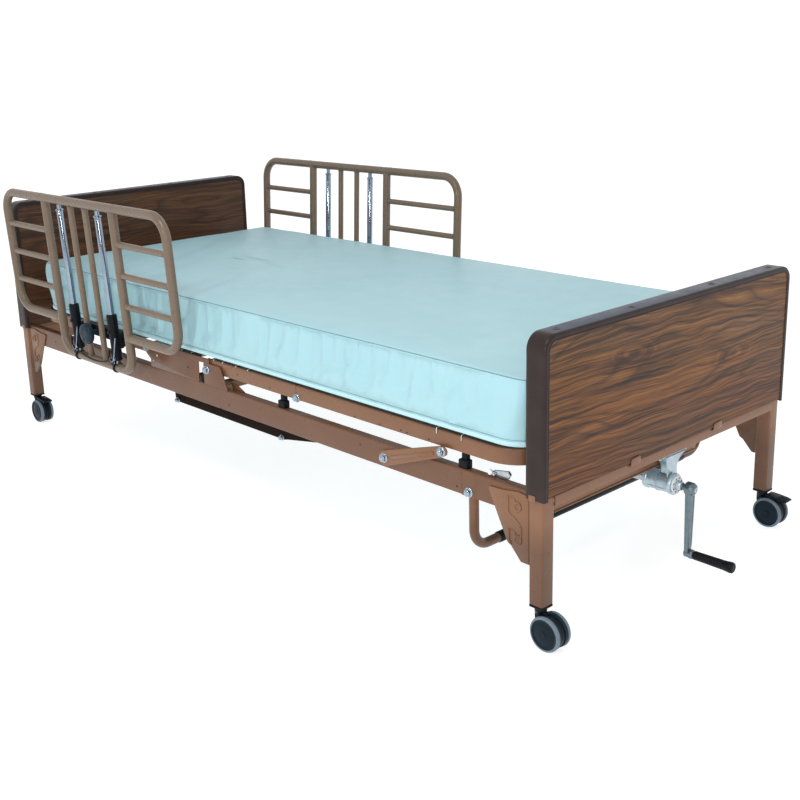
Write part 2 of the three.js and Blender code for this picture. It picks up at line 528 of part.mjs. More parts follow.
// --------------------------------------------------------------- side rails
for (const [side, s] of [['near', -1], ['far', 1]]) {
  const lean = new THREE.Group();
  lean.position.set(SR_X[side], s * SR_Y, SR_PIVOT_Z);
  lean.rotation.x = -s * SR_LEAN;
  bed.add(lean);
  const z = (v) => v - SR_PIVOT_Z;
  const Y = (a, b) => (s < 0 ? [-b, -a] : [a, b]);      // outboard positive
  const T = SR_THICK_X;
  const [HH, HF] = SR_HALF[side];
  const bars = [690, 603, 515];
  const frame = join(
    tube([[-T, 0, z(SR_LOOP)], [-HH, 0, z(SR_LOOP)], [-HH, 0, z(SR_TOP)], [HF, 0, z(SR_TOP)], [HF, 0, z(SR_LOOP)], [T, 0, z(SR_LOOP)]], 62, SR_R, 10, 4),
    tube([[-T, 0, z(SR_TOP)], [-T, 0, z(SR_BOTTOM)], [T, 0, z(SR_BOTTOM)], [T, 0, z(SR_TOP)]], 50, SR_R, 10, 4),
    ...bars.flatMap((b) => [rod([-HH, 0, z(b)], [-T, 0, z(b)], SR_BAR_R, SR_BAR_R, 8), rod([T, 0, z(b)], [HF, 0, z(b)], SR_BAR_R, SR_BAR_R, 8)]),
    rod([-SR_THIN_X, 0, z(SR_BOTTOM)], [-SR_THIN_X, 0, z(SR_TOP)], SR_BAR_R, SR_BAR_R, 8),
    rod([SR_THIN_X, 0, z(SR_BOTTOM)], [SR_THIN_X, 0, z(SR_TOP)], SR_BAR_R, SR_BAR_R, 8),
  );
  add(`side_rail_${side}`, frame, 'taupe_steel', lean);
  for (const [tag, px] of [['a', -SR_POST_X], ['b', SR_POST_X]]) {
    add(`rail_post_${side}_${tag}`, rod([px, 0, z(SR_BOTTOM) + SR_R + 0.5], [px, 0, z(SR_TOP) - SR_R - 0.5], SR_POST_R, SR_POST_R, 12), 'chrome', lean);
  }
  const sleeve = (px) => cut(rod([px, 0, z(344)], [px, 0, z(479)], 15.5, 15.5, 14), rod([px, 0, z(330)], [px, 0, z(490)], 10.6, 10.6, 14));
  const inner = SR_Y - DECK_Y - 1.2;                    // reach to the deck side member
  add(`rail_mount_${side}`, join(
    sleeve(-SR_POST_X), sleeve(SR_POST_X),
    box(-SR_POST_X - 8, SR_POST_X + 8, ...Y(-34, -13.5), z(390), z(422)),
    box(-SR_POST_X - 9, -SR_POST_X + 9, ...Y(-inner, -20), z(378), z(402)),
    box(SR_POST_X - 9, SR_POST_X + 9, ...Y(-inner, -20), z(378), z(402)),
  ), 'black_plastic', lean);
  add(`rail_knob_${side}`, join(
    rod([-10, s * 13, z(408)], [-10, s * 33, z(408)], 31, 31, 20),
    rod([-10, -s * 12.5, z(408)], [-10, s * 14, z(408)], 7, 7, 12),
  ), 'black_plastic', lean);
}

export default bed;
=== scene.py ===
import math
import bpy
import bmesh
import numpy as np
from mathutils import Matrix, Vector, noise


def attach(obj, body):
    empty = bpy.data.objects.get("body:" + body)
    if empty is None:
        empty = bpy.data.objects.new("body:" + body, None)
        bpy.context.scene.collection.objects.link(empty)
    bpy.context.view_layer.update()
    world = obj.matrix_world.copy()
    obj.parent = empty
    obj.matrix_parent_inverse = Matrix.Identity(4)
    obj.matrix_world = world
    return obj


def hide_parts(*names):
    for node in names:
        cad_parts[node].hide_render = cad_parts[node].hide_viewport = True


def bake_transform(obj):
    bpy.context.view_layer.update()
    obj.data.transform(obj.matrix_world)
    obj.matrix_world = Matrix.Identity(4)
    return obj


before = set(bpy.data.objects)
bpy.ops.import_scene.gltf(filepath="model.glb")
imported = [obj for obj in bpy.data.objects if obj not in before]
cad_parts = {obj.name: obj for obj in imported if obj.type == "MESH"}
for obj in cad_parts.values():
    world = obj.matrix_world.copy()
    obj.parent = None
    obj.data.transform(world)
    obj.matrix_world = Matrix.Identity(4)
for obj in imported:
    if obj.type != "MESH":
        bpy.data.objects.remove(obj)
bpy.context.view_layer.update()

scene = bpy.context.scene

# All lengths below are millimetres in a working frame whose x = 0 is midway
# between the two end panels; the shared frame is 77 mm further toward the head.
SHIFT_X = -77.0
COS = math.cos
SIN = math.sin
RAD = math.radians


def P(p):
    return ((p[0] + SHIFT_X) / 1000.0, p[1] / 1000.0, p[2] / 1000.0)


# ------------------------------------------------------------------ geometry
class G:
    def __init__(self, v=None, f=None):
        self.v = list(v or [])
        self.f = list(f or [])

    def add(self, *others):
        for o in others:
            n = len(self.v)
            self.v += o.v
            self.f += [tuple(i + n for i in q) for q in o.f]
        return self

    def map(self, fn, flip=False):
        g = G([fn(p) for p in self.v], self.f)
        if flip:
            g.f = [tuple(reversed(q)) for q in g.f]
        return g

    def move(self, dx=0, dy=0, dz=0):
        return self.map(lambda p: (p[0] + dx, p[1] + dy, p[2] + dz))

    def my(self):
        return self.map(lambda p: (p[0], -p[1], p[2]), True)

    def mx(self):
        return self.map(lambda p: (-p[0], p[1], p[2]), True)


def both(g):
    return G().add(g, g.my())


def vsub(a, b): return (a[0] - b[0], a[1] - b[1], a[2] - b[2])
def vadd(a, b): return (a[0] + b[0], a[1] + b[1], a[2] + b[2])
def vmul(a, k): return (a[0] * k, a[1] * k, a[2] * k)
def dot(a, b): return a[0] * b[0] + a[1] * b[1] + a[2] * b[2]
def vlen(a): return math.sqrt(dot(a, a))


def unit(a):
    n = vlen(a) or 1.0
    return (a[0] / n, a[1] / n, a[2] / n)


def cross(a, b):
    return (a[1] * b[2] - a[2] * b[1], a[2] * b[0] - a[0] * b[2], a[0] * b[1] - a[1] * b[0])


def fillet(points, radius, n=8, closed=False):
    """Rounds the corners of a polyline in 3-D."""
    pts = [tuple(p) for p in points]
    out = []
    m = len(pts)
    for i in range(m):
        r = radius[i] if isinstance(radius, (list, tuple)) else radius
        if not closed and i in (0, m - 1):
            out.append(pts[i])
            continue
        p, a, b = pts[i], pts[i - 1], pts[(i + 1) % m]
        u, v = unit(vsub(a, p)), unit(vsub(b, p))
        c = max(-1.0, min(1.0, dot(u, v)))
        half = math.acos(c) / 2
        if r <= 0 or half > math.pi / 2 - 1e-3:
            out.append(p)
            continue
        t = min(r / math.tan(half), vlen(vsub(a, p)) * 0.499, vlen(vsub(b, p)) * 0.499)
        r = t * math.tan(half)
        axis = unit(vadd(u, v))
        centre = vadd(p, vmul(axis, r / math.sin(half)))
        s = vsub(vadd(p, vmul(u, t)), centre)
        e = vsub(vadd(p, vmul(v, t)), centre)
        total = math.acos(max(-1, min(1, dot(unit(s), unit(e)))))
        for k in range(n + 1):
            w = k / n
            q = vadd(vmul(s, math.sin((1 - w) * total)), vmul(e, math.sin(w * total)))
            out.append(vadd(centre, vmul(q, 1 / math.sin(total))))
    return out


def sweep(path, profile, up=None, closed=False, caps=True, scale=None):
    """Sweeps a closed 2-D profile (side, up) along a path."""
    m = len(path)
    tang = []
    for i in range(m):
        if closed:
            t = vsub(path[(i + 1) % m], path[i - 1])
        elif i == 0:
            t = vsub(path[1], path[0])
        elif i == m - 1:
            t = vsub(path[-1], path[-2])
        else:
            t = vadd(unit(vsub(path[i + 1], path[i])), unit(vsub(path[i], path[i - 1])))
        tang.append(unit(t))
    frames = []
    if up is not None:
        for t in tang:
            s = unit(cross(t, up))
            frames.append((s, unit(cross(s, t))))
    else:
        t0 = tang[0]
        ref = (0, 0, 1) if abs(t0[2]) < 0.9 else (0, 1, 0)
        s = unit(cross(t0, ref))
        n = unit(cross(s, t0))
        frames.append((s, n))
        for i in range(1, m):
            a, b = tang[i - 1], tang[i]
            ax = cross(a, b)
            if vlen(ax) > 1e-9:
                ax = unit(ax)
                ang = math.acos(max(-1, min(1, dot(a, b))))
                def rot(v):
                    return vadd(vadd(vmul(v, COS(ang)), vmul(cross(ax, v), SIN(ang))), vmul(ax, dot(ax, v) * (1 - COS(ang))))
                s, n = rot(s), rot(n)
            frames.append((s, n))
    k = len(profile)
    g = G()
    for i, p in enumerate(path):
        s, n = frames[i]
        c = scale[i] if scale else 1.0
        for a, b in profile:
            g.v.append(vadd(p, vadd(vmul(s, a * c), vmul(n, b * c))))
    rings = m if closed else m - 1
    for i in range(rings):
        j = (i + 1) % m
        for q in range(k):
            r = (q + 1) % k
            g.f.append((i * k + q, i * k + r, j * k + r, j * k + q))
    if not closed and caps:
        g.f.append(tuple(range(k - 1, -1, -1)))
        g.f.append(tuple((m - 1) * k + q for q in range(k)))
    return g


def circle(r, n=16, a0=0.0):
    return [(r * COS(a0 + 2 * math.pi * i / n), r * SIN(a0 + 2 * math.pi * i / n)) for i in range(n)]


def tube(path, r, n=16, closed=False, round_end=0.0):
    """A round tube; round_end softens its two ends."""
    path = [tuple(map(float, p)) for p in path]
    if round_end > 0 and not closed:
        d0, d1 = unit(vsub(path[1], path[0])), unit(vsub(path[-2], path[-1]))
        a, b = path[0], path[-1]
        head = [vadd(a, vmul(d0, x * round_end)) for x in (0.0, 0.3, 1.0)]
        tail = [vadd(b, vmul(d1, x * round_end)) for x in (1.0, 0.3, 0.0)]
        k = round_end / r
        sc = [1 - k, 1 - 0.3 * k, 1.0] + [1.0] * (len(path) - 2) + [1.0, 1 - 0.3 * k, 1 - k]
        return sweep(head + path[1:-1] + tail, circle(r, n), scale=sc)
    return sweep(path, circle(r, n), closed=closed)


def bevelled(g, r, seg=2, angle=28.0, only=None):
    bm = bmesh.new()
    vs = [bm.verts.new(p) for p in g.v]
    for q in g.f:
        try:
            bm.faces.new([vs[i] for i in q])
        except ValueError:
            pass
    bmesh.ops.remove_doubles(bm, verts=bm.verts, dist=1e-4)
    bmesh.ops.recalc_face_normals(bm, faces=bm.faces)
    bm.normal_update()
    edges = [e for e in bm.edges if len(e.link_faces) == 2 and e.calc_face_angle(0) > RAD(angle) and (only is None or only(e))]
    if r > 0 and edges:
        bmesh.ops.bevel(bm, geom=edges, offset=r, offset_type="OFFSET", segments=seg, profile=0.5, affect="EDGES", clamp_overlap=True)
    bm.verts.index_update()
    out = G([tuple(v.co) for v in bm.verts], [tuple(v.index for v in f.verts) for f in bm.faces])
    bm.free()
    return out


def prism(poly, plane, a, b, r=0.0, seg=2):
    """Extrudes a polygon: plane 'xz' along y, 'yz' along x, 'xy' along z."""
    put = {"xz": lambda u, v, t: (u, t, v), "yz": lambda u, v, t: (t, u, v), "xy": lambda u, v, t: (u, v, t)}[plane]
    n = len(poly)
    g = G([put(u, v, a) for u, v in poly] + [put(u, v, b) for u, v in poly])
    g.f = [(i, (i + 1) % n, n + (i + 1) % n, n + i) for i in range(n)]
    g.f.append(tuple(range(n - 1, -1, -1)))
    g.f.append(tuple(range(n, 2 * n)))
    return bevelled(g, r, seg)


def box(x0, x1, y0, y1, z0, z1, r=1.0, seg=2):
    return prism([(x0, z0), (x1, z0), (x1, z1), (x0, z1)], "xz", y0, y1, r, seg)


def round_poly(poly, r, n=5):
    pts = fillet([(x, y, 0) for x, y in poly], r, n, closed=True)
    return [(p[0], p[1]) for p in pts]


def lathe(profile, axis="z", c=(0, 0, 0), n=32, close=True):
    """Turns [(radius, height)] about an axis through c."""
    g = G()
    put = {"z": lambda r, a, h: (c[0] + r * COS(a), c[1] + r * SIN(a), c[2] + h),
           "x": lambda r, a, h: (c[0] + h, c[1] + r * COS(a), c[2] + r * SIN(a)),
           "y": lambda r, a, h: (c[0] + r * COS(a), c[1] + h, c[2] + r * SIN(a))}[axis]
    rings = []
    for r, h in profile:
        if r < 1e-6:
            rings.append([len(g.v)])
            g.v.append(put(0, 0, h))
        else:
            rings.append(list(range(len(g.v), len(g.v) + n)))
            g.v += [put(r, 2 * math.pi * i / n, h) for i in range(n)]
    pairs = list(zip(rings, rings[1:]))
    if close and len(rings[0]) > 1 and len(rings[-1]) > 1:
        pairs.append((rings[-1], rings[0]))
    for a, b in pairs:
        for i in range(n):
            j = (i + 1) % n
            if len(a) == 1 and len(b) == 1:
                continue
            if len(a) == 1:
                g.f.append((a[0], b[i], b[j]))
            elif len(b) == 1:
                g.f.append((a[i], b[0], a[j]))
            else:
                g.f.append((a[i], b[i], b[j], a[j]))
    return g


def rounded_ring(r0, r1, h0, h1, c=1.0):
    """Closed profile of a ring with softened edges."""
    return [(r0, h0 + c), (r0 + c * 0.3, h0 + c * 0.3), (r0 + c, h0), (r1 - c, h0), (r1 - c * 0.3, h0 + c * 0.3), (r1, h0 + c),
            (r1, h1 - c), (r1 - c * 0.3, h1 - c * 0.3), (r1 - c, h1), (r0 + c, h1), (r0 + c * 0.3, h1 - c * 0.3), (r0, h1 - c)]


def disc(r, h0, h1, c=1.0):
    """Profile of a solid disc with softened edges."""
    return [(0, h0), (r - c, h0), (r - c * 0.3, h0 + c * 0.3), (r, h0 + c), (r, h1 - c), (r - c * 0.3, h1 - c * 0.3), (r - c, h1), (0, h1)]


def carriage_bolt(c, axis, sign, r=9.5, washer=12.5):
    """Flanged lock nut with a rounded crown, pointing along sign * axis."""
    g = lathe([(a, sign * h) for a, h in [(0, -2.0), (washer - 1, -2.0), (washer, -1.2), (washer, 0.5), (washer - 0.8, 1.4), (r + 1.2, 2.2), (0, 2.2)]], axis, c, 28)
    put = {"x": lambda u, v, t: (c[0] + t, c[1] + u, c[2] + v), "y": lambda u, v, t: (c[0] + u, c[1] + t, c[2] + v), "z": lambda u, v, t: (c[0] + u, c[1] + v, c[2] + t)}[axis]
    ring = [((r + 0.3) * COS(math.pi / 3 * i + 0.3), (r + 0.3) * SIN(math.pi / 3 * i + 0.3)) for i in range(6)]
    n = G([put(u, v, sign * 2.0) for u, v in ring] + [put(u, v, sign * 7.4) for u, v in ring])
    n.f = [(i, (i + 1) % 6, 6 + (i + 1) % 6, 6 + i) for i in range(6)] + [tuple(range(6)), tuple(range(6, 12))]
    k = r * 0.70
    crown = lathe([(a, sign * h) for a, h in [(0, 6.6), (k, 6.6), (k, 8.6), (k * 0.86, 9.6), (k * 0.5, 10.3), (0, 10.5)]], axis, c, 24)
    return g.add(bevelled(n, 0.8, 2), crown)


def hex_bolt(c, axis, sign, r=6.5, h=5.0):
    put = {"x": lambda u, v, t: (c[0] + t, c[1] + u, c[2] + v), "y": lambda u, v, t: (c[0] + u, c[1] + t, c[2] + v), "z": lambda u, v, t: (c[0] + u, c[1] + v, c[2] + t)}[axis]
    n = 6
    ring = [(r * COS(math.pi / 3 * i), r * SIN(math.pi / 3 * i)) for i in range(n)]
    g = G([put(u, v, 0) for u, v in ring] + [put(u, v, sign * h) for u, v in ring])
    g.f = [(i, (i + 1) % n, n + (i + 1) % n, n + i) for i in range(n)] + [tuple(range(n)), tuple(range(n, 2 * n))]
    return G().add(bevelled(g, 0.7, 2), lathe([(a, sign * b) for a, b in disc(r * 1.5, -0.8, 1.0, 0.4)], axis, c, 24))


# ----------------------------------------------------------------- materials
def new_material(name):
    m = bpy.data.materials.new(name)
    m.use_nodes = True
    nt = m.node_tree
    nt.nodes.clear()
    out = nt.nodes.new("ShaderNodeOutputMaterial")
    bsdf = nt.nodes.new("ShaderNodeBsdfPrincipled")
    nt.links.new(bsdf.outputs[0], out.inputs[0])
    return m, nt, bsdf


def node(nt, kind, values=None, **attributes):
    n = nt.nodes.new(kind)
    for k, v in attributes.items():
        setattr(n, k, v)
    for k, v in (values or {}).items():
        if isinstance(v, bpy.types.NodeSocket):
            nt.links.new(v, n.inputs[k])
        else:
            n.inputs[k].default_value = v
    return n


def coords(nt, scale=(1, 1, 1), rotation=(0, 0, 0)):
    tc = node(nt, "ShaderNodeTexCoord")
    mp = node(nt, "ShaderNodeMapping", {"Vector": tc.outputs["Object"], "Scale": scale, "Rotation": rotation})
    return mp.outputs[0]


def ramp(nt, fac, stops):
    r = node(nt, "ShaderNodeValToRGB", {"Fac": fac})
    cr = r.color_ramp
    cr.elements[0].position, cr.elements[0].color = stops[0][0], (*stops[0][1], 1)
    cr.elements[1].position, cr.elements[1].color = stops[-1][0], (*stops[-1][1], 1)
    for p, c in stops[1:-1]:
        e = cr.elements.new(p)
        e.color = (*c, 1)
    return r.outputs[0]


def gray(v): return (v, v, v)


def mix_color(nt, fac, a, b, blend="MIX"):
    m = node(nt, "ShaderNodeMix", data_type="RGBA", blend_type=blend)
    for socket, v in ((m.inputs[0], fac), (m.inputs[6], a), (m.inputs[7], b)):
        if isinstance(v, bpy.types.NodeSocket):
            nt.links.new(v, socket)
        else:
            socket.default_value = v if isinstance(v, float) else (*v, 1)
    return m.outputs[2]


def math_node(nt, op, a, b=None, c=None):
    m = node(nt, "ShaderNodeMath", operation=op)
    for i, v in enumerate((a, b, c)):
        if v is None:
            continue
        if isinstance(v, bpy.types.NodeSocket):
            nt.links.new(v, m.inputs[i])
        else:
            m.inputs[i].default_value = v
    return m.outputs[0]


def noise_tex(nt, vec, scale, detail=4.0, rough=0.55, distortion=0.0):
    return node(nt, "ShaderNodeTexNoise", {"Vector": vec, "Scale": scale, "Detail": detail, "Roughness": rough, "Distortion": distortion}).outputs["Fac"]


def bump(nt, bsdf, height, strength, distance):
    b = node(nt, "ShaderNodeBump", {"Height": height, "Strength": strength, "Distance": distance})
    nt.links.new(b.outputs[0], bsdf.inputs["Normal"])


def worn_edges(nt, low, high):
    """Convex-edge mask from the mesh itself."""
    g = node(nt, "ShaderNodeNewGeometry")
    return node(nt, "ShaderNodeMapRange", {"Value": g.outputs["Pointiness"], "From Min": low, "From Max": high}).outputs[0]


def paint(name, base, dark, light, rough=0.4, metallic=0.0, coat=0.10, shade_by_height=None):
    m, nt, b = new_material(name)
    v = coords(nt)
    broad = noise_tex(nt, v, 9.0, 5.0, 0.6)
    fine = noise_tex(nt, v, 900.0, 3.0, 0.6)
    c = ramp(nt, broad, [(0.3, dark), (0.5, base), (0.72, light)])
    fleck = ramp(nt, fine, [(0.3, gray(0.90)), (0.62, gray(1.06))])
    c = mix_color(nt, 1.0, c, fleck, "MULTIPLY")
    edge = worn_edges(nt, 0.55, 0.70)
    c = mix_color(nt, math_node(nt, "MULTIPLY", edge, 0.22), c, tuple(min(1, x * 1.5) for x in base))
    # painted shade: shade_by_height multiplies the colour by a ramp over height, darkening low parts and a band under
    # the mattress's shadow
    if shade_by_height:
        z = node(nt, "ShaderNodeSeparateXYZ", {"Vector": v}).outputs[2]
        c = mix_color(nt, 1.0, c, ramp(nt, math_node(nt, "MULTIPLY", z, 2.0), [(h * 2.0, gray(k)) for h, k in shade_by_height]), "MULTIPLY")
    nt.links.new(c, b.inputs["Base Color"])
    r = ramp(nt, noise_tex(nt, v, 40.0, 4.0, 0.6), [(0.3, gray(rough - 0.06)), (0.7, gray(rough + 0.08))])
    nt.links.new(r, b.inputs["Roughness"])
    b.inputs["Metallic"].default_value = metallic
    b.inputs["Coat Weight"].default_value = coat
    b.inputs["Coat Roughness"].default_value = 0.22
    b.inputs["Specular IOR Level"].default_value = 0.34
    bump(nt, b, math_node(nt, "ADD", noise_tex(nt, v, 420.0, 2.0, 0.5), math_node(nt, "MULTIPLY", broad, 0.6)), 0.12, 0.0006)
    return m


def metal(name, base, rough=0.3, spread=0.12, scale=60.0, bump_scale=300.0, bump_strength=0.08, metallic=1.0, stretch=(1, 1, 1)):
    m, nt, b = new_material(name)
    v = coords(nt, stretch)
    n = noise_tex(nt, v, scale, 5.0, 0.6)
    c = ramp(nt, n, [(0.25, tuple(x * 0.80 for x in base)), (0.5, base), (0.8, tuple(min(1, x * 1.14) for x in base))])
    nt.links.new(c, b.inputs["Base Color"])
    r = ramp(nt, noise_tex(nt, v, scale * 1.7, 4.0, 0.6), [(0.25, gray(max(0.03, rough - spread))), (0.8, gray(rough + spread))])
    nt.links.new(r, b.inputs["Roughness"])
    b.inputs["Metallic"].default_value = metallic
    bump(nt, b, noise_tex(nt, v, bump_scale, 3.0, 0.6), bump_strength, 0.0006)
    return m


def plastic(name, base, rough=0.42, spread=0.08, bump_scale=700.0, strength=0.15, coat=0.0, light=None, spec=0.28):
    m, nt, b = new_material(name)
    v = coords(nt)
    c = ramp(nt, noise_tex(nt, v, 22.0, 5.0, 0.6), [(0.28, tuple(x * 0.82 for x in base)), (0.75, light or tuple(min(1, x * 1.2) for x in base))])
    edge = worn_edges(nt, 0.53, 0.61)
    c = mix_color(nt, math_node(nt, "MULTIPLY", edge, 0.4), c, tuple(min(1, x * 1.9 + 0.01) for x in base))
    nt.links.new(c, b.inputs["Base Color"])
    r = ramp(nt, noise_tex(nt, v, 55.0, 4.0, 0.6), [(0.3, gray(rough - spread)), (0.75, gray(rough + spread))])
    nt.links.new(r, b.inputs["Roughness"])
    b.inputs["Coat Weight"].default_value = coat
    b.inputs["Specular IOR Level"].default_value = spec
    bump(nt, b, noise_tex(nt, v, bump_scale, 2.0, 0.5), strength, 0.0004)
    return m


def walnut_material(name, shade_tint=(1.0, 1.0, 1.0), shade_mute=0.0):
    """Laminate with the grain running along Y: long streaks, nested cathedral lines and fine fibre."""
    m, nt, b = new_material(name)
    tc = node(nt, "ShaderNodeTexCoord")
    X, Y, Z = node(nt, "ShaderNodeSeparateXYZ", {"Vector": tc.outputs["Object"]}).outputs

    def field(ky, kz, scale, detail, rough, zz=None, distortion=0.0):
        v = node(nt, "ShaderNodeCombineXYZ", {"X": math_node(nt, "MULTIPLY", X, 0.7), "Y": math_node(nt, "MULTIPLY", Y, ky), "Z": math_node(nt, "MULTIPLY", zz or Z, kz)}).outputs[0]
        return noise_tex(nt, v, scale, detail, rough, distortion)
    # the grain wanders a little up and down along the board, and rises slowly across it
    wander = field(2.0, 5.0, 1.0, 3.0, 0.5)
    kink = field(9.0, 24.0, 1.0, 2.0, 0.5)
    zz = math_node(nt, "ADD", Z, math_node(nt, "ADD", math_node(nt, "MULTIPLY", wander, 0.075), math_node(nt, "MULTIPLY", kink, 0.009)))
    zz = math_node(nt, "ADD", zz, math_node(nt, "MULTIPLY", Y, 0.02))
    flat = field(0.85, 5.2, 1.0, 2.0, 0.45, zz)
    rings = math_node(nt, "FRACT", math_node(nt, "ADD", math_node(nt, "MULTIPLY", flat, 25.0), math_node(nt, "MULTIPLY", zz, 48.0)))
    late = ramp(nt, rings, [(0.0, gray(0.42)), (0.09, gray(0.80)), (0.30, gray(1.0)), (0.66, gray(1.02)), (0.90, gray(0.62)), (1.0, gray(0.42))])
    streak = field(1.5, 74.0, 1.6, 5.0, 0.72, zz)
    thin = field(2.4, 190.0, 1.8, 4.0, 0.7, zz)
    fibre = field(14.0, 620.0, 2.0, 3.0, 0.7, zz)
    tone = field(1.3, 2.6, 1.3, 3.0, 0.5)
    warm = ramp(nt, streak, [(0.30, (0.020, 0.008, 0.004)), (0.42, (0.082, 0.028, 0.006)), (0.52, (0.182, 0.068, 0.012)), (0.68, (0.300, 0.125, 0.026))])
    cool = ramp(nt, streak, [(0.30, (0.024, 0.011, 0.007)), (0.42, (0.078, 0.033, 0.013)), (0.52, (0.150, 0.070, 0.028)), (0.68, (0.235, 0.122, 0.052))])
    c = mix_color(nt, ramp(nt, tone, [(0.42, gray(0.0)), (0.62, gray(1.0))]), warm, cool)
    c = mix_color(nt, 1.0, c, late, "MULTIPLY")
    c = mix_color(nt, 1.0, c, ramp(nt, thin, [(0.34, (0.38, 0.34, 0.32)), (0.47, (0.93, 0.92, 0.91)), (0.72, (1.16, 1.14, 1.10))]), "MULTIPLY")
    c = mix_color(nt, 1.0, c, ramp(nt, fibre, [(0.30, gray(0.74)), (0.50, gray(1.0)), (0.78, gray(1.16))]), "MULTIPLY")
    # a few small knots with rings round them
    kv = node(nt, "ShaderNodeCombineXYZ", {"X": X, "Y": math_node(nt, "MULTIPLY", Y, 3.4), "Z": math_node(nt, "MULTIPLY", zz, 10.5)}).outputs[0]
    knots = node(nt, "ShaderNodeTexVoronoi", {"Vector": kv, "Scale": 0.62, "Randomness": 1.0}, feature="F1").outputs["Distance"]
    k_rings = math_node(nt, "SINE", math_node(nt, "MULTIPLY", math_node(nt, "ADD", knots, math_node(nt, "MULTIPLY", kink, 0.08)), 88.0))
    k_zone = ramp(nt, knots, [(0.03, gray(1.0)), (0.14, gray(0.6)), (0.24, gray(0.0))])
    c = mix_color(nt, k_zone, c, mix_color(nt, 1.0, c, ramp(nt, k_rings, [(0.2, (0.40, 0.34, 0.30)), (0.8, (1.25, 1.18, 1.08))]), "MULTIPLY"))
    # painted shade: shade_tint darkens and blues the laminate and shade_mute flattens its grain toward dark brown, for
    # the head board's shaded copy
    if shade_mute:
        c = mix_color(nt, 1.0, mix_color(nt, shade_mute, c, (0.080, 0.043, 0.026)), shade_tint, "MULTIPLY")
    # painted shade: the board is a little deeper in colour toward its lower edge, darker and warmer where it takes
    # less light
    c = mix_color(nt, 1.0, c, ramp(nt, Z, [(0.38, (0.82, 0.69, 0.50)), (0.54, (1.0, 1.0, 1.0))]), "MULTIPLY")
    nt.links.new(c, b.inputs["Base Color"])
    nt.links.new(ramp(nt, thin, [(0.35, gray(0.50)), (0.7, gray(0.34))]), b.inputs["Roughness"])
    b.inputs["Specular IOR Level"].default_value = 0.30
    bump(nt, b, math_node(nt, "ADD", thin, math_node(nt, "MULTIPLY", streak, 0.4)), 0.14, 0.0005)
    return m


def vinyl_material(name, top, side, dark):
    m, nt, b = new_material(name)
    v = coords(nt)
    broad = noise_tex(nt, v, 2.4, 4.0, 0.55, 0.3)
    fine = noise_tex(nt, v, 1400.0, 2.0, 0.5)
    grain = node(nt, "ShaderNodeTexVoronoi", {"Vector": v, "Scale": 1500.0}, feature="F1").outputs["Distance"]
    c = ramp(nt, broad, [(0.25, dark), (0.5, top), (0.8, side)])
    c = mix_color(nt, 1.0, c, ramp(nt, fine, [(0.3, gray(0.955)), (0.7, gray(1.02))]), "MULTIPLY")
    nt.links.new(c, b.inputs["Base Color"])
    r = ramp(nt, noise_tex(nt, v, 14.0, 5.0, 0.6), [(0.3, gray(0.36)), (0.75, gray(0.52))])
    nt.links.new(r, b.inputs["Roughness"])
    b.inputs["Sheen Weight"].default_value = 0.05
    b.inputs["Sheen Roughness"].default_value = 0.5
    b.inputs["Specular IOR Level"].default_value = 0.28
    h = math_node(nt, "ADD", math_node(nt, "MULTIPLY", grain, 0.5), math_node(nt, "MULTIPLY", noise_tex(nt, v, 160.0, 3.0, 0.6), 1.0))
    bump(nt, b, h, 0.10, 0.0005)
    return m


def rubber_material(name, base, rough=0.6):
    m, nt, b = new_material(name)
    v = coords(nt)
    dust = noise_tex(nt, v, 120.0, 6.0, 0.7)
    c = ramp(nt, dust, [(0.3, tuple(x * 0.85 for x in base)), (0.6, base), (0.85, tuple(min(1, x * 1.18 + 0.01) for x in base))])
    nt.links.new(c, b.inputs["Base Color"])
    nt.links.new(ramp(nt, noise_tex(nt, v, 60.0, 4.0, 0.6), [(0.3, gray(rough - 0.1)), (0.75, gray(rough + 0.1))]), b.inputs["Roughness"])
    b.inputs["Specular IOR Level"].default_value = 0.12
    bump(nt, b, noise_tex(nt, v, 900.0, 2.0, 0.6), 0.2, 0.0004)
    return m


def spring_wire(name):
    return metal(name, (0.52, 0.53, 0.54), 0.28, 0.08, 120.0)


# painted shade by height: low parts of the frame darker, and a near-black band along the deck's top flange in the
# mattress's shadow
BROWN = paint("paint_brown", (0.200, 0.092, 0.044), (0.190, 0.085, 0.040), (0.212, 0.099, 0.050), 0.31,
              shade_by_height=[(0.0, 0.50), (0.21, 0.60), (0.275, 1.0), (0.33, 1.0), (0.4022, 0.90), (0.4046, 0.16)])
# painted shade: a darker copy of the same brown paint for the base rails, with a near-black band in the mattress's
# shadow
BROWN_RAIL_SHADED = paint("paint_brown_rail_shaded", (0.141, 0.062, 0.030), (0.133, 0.058, 0.027), (0.151, 0.069, 0.034), 0.31,
                   shade_by_height=[(0.0, 1.0), (0.4022, 0.94), (0.4046, 0.16)])
TAUPE = paint("paint_taupe", (0.158, 0.114, 0.080), (0.147, 0.105, 0.073), (0.171, 0.124, 0.088), 0.30)
WALNUT = walnut_material("walnut_laminate")
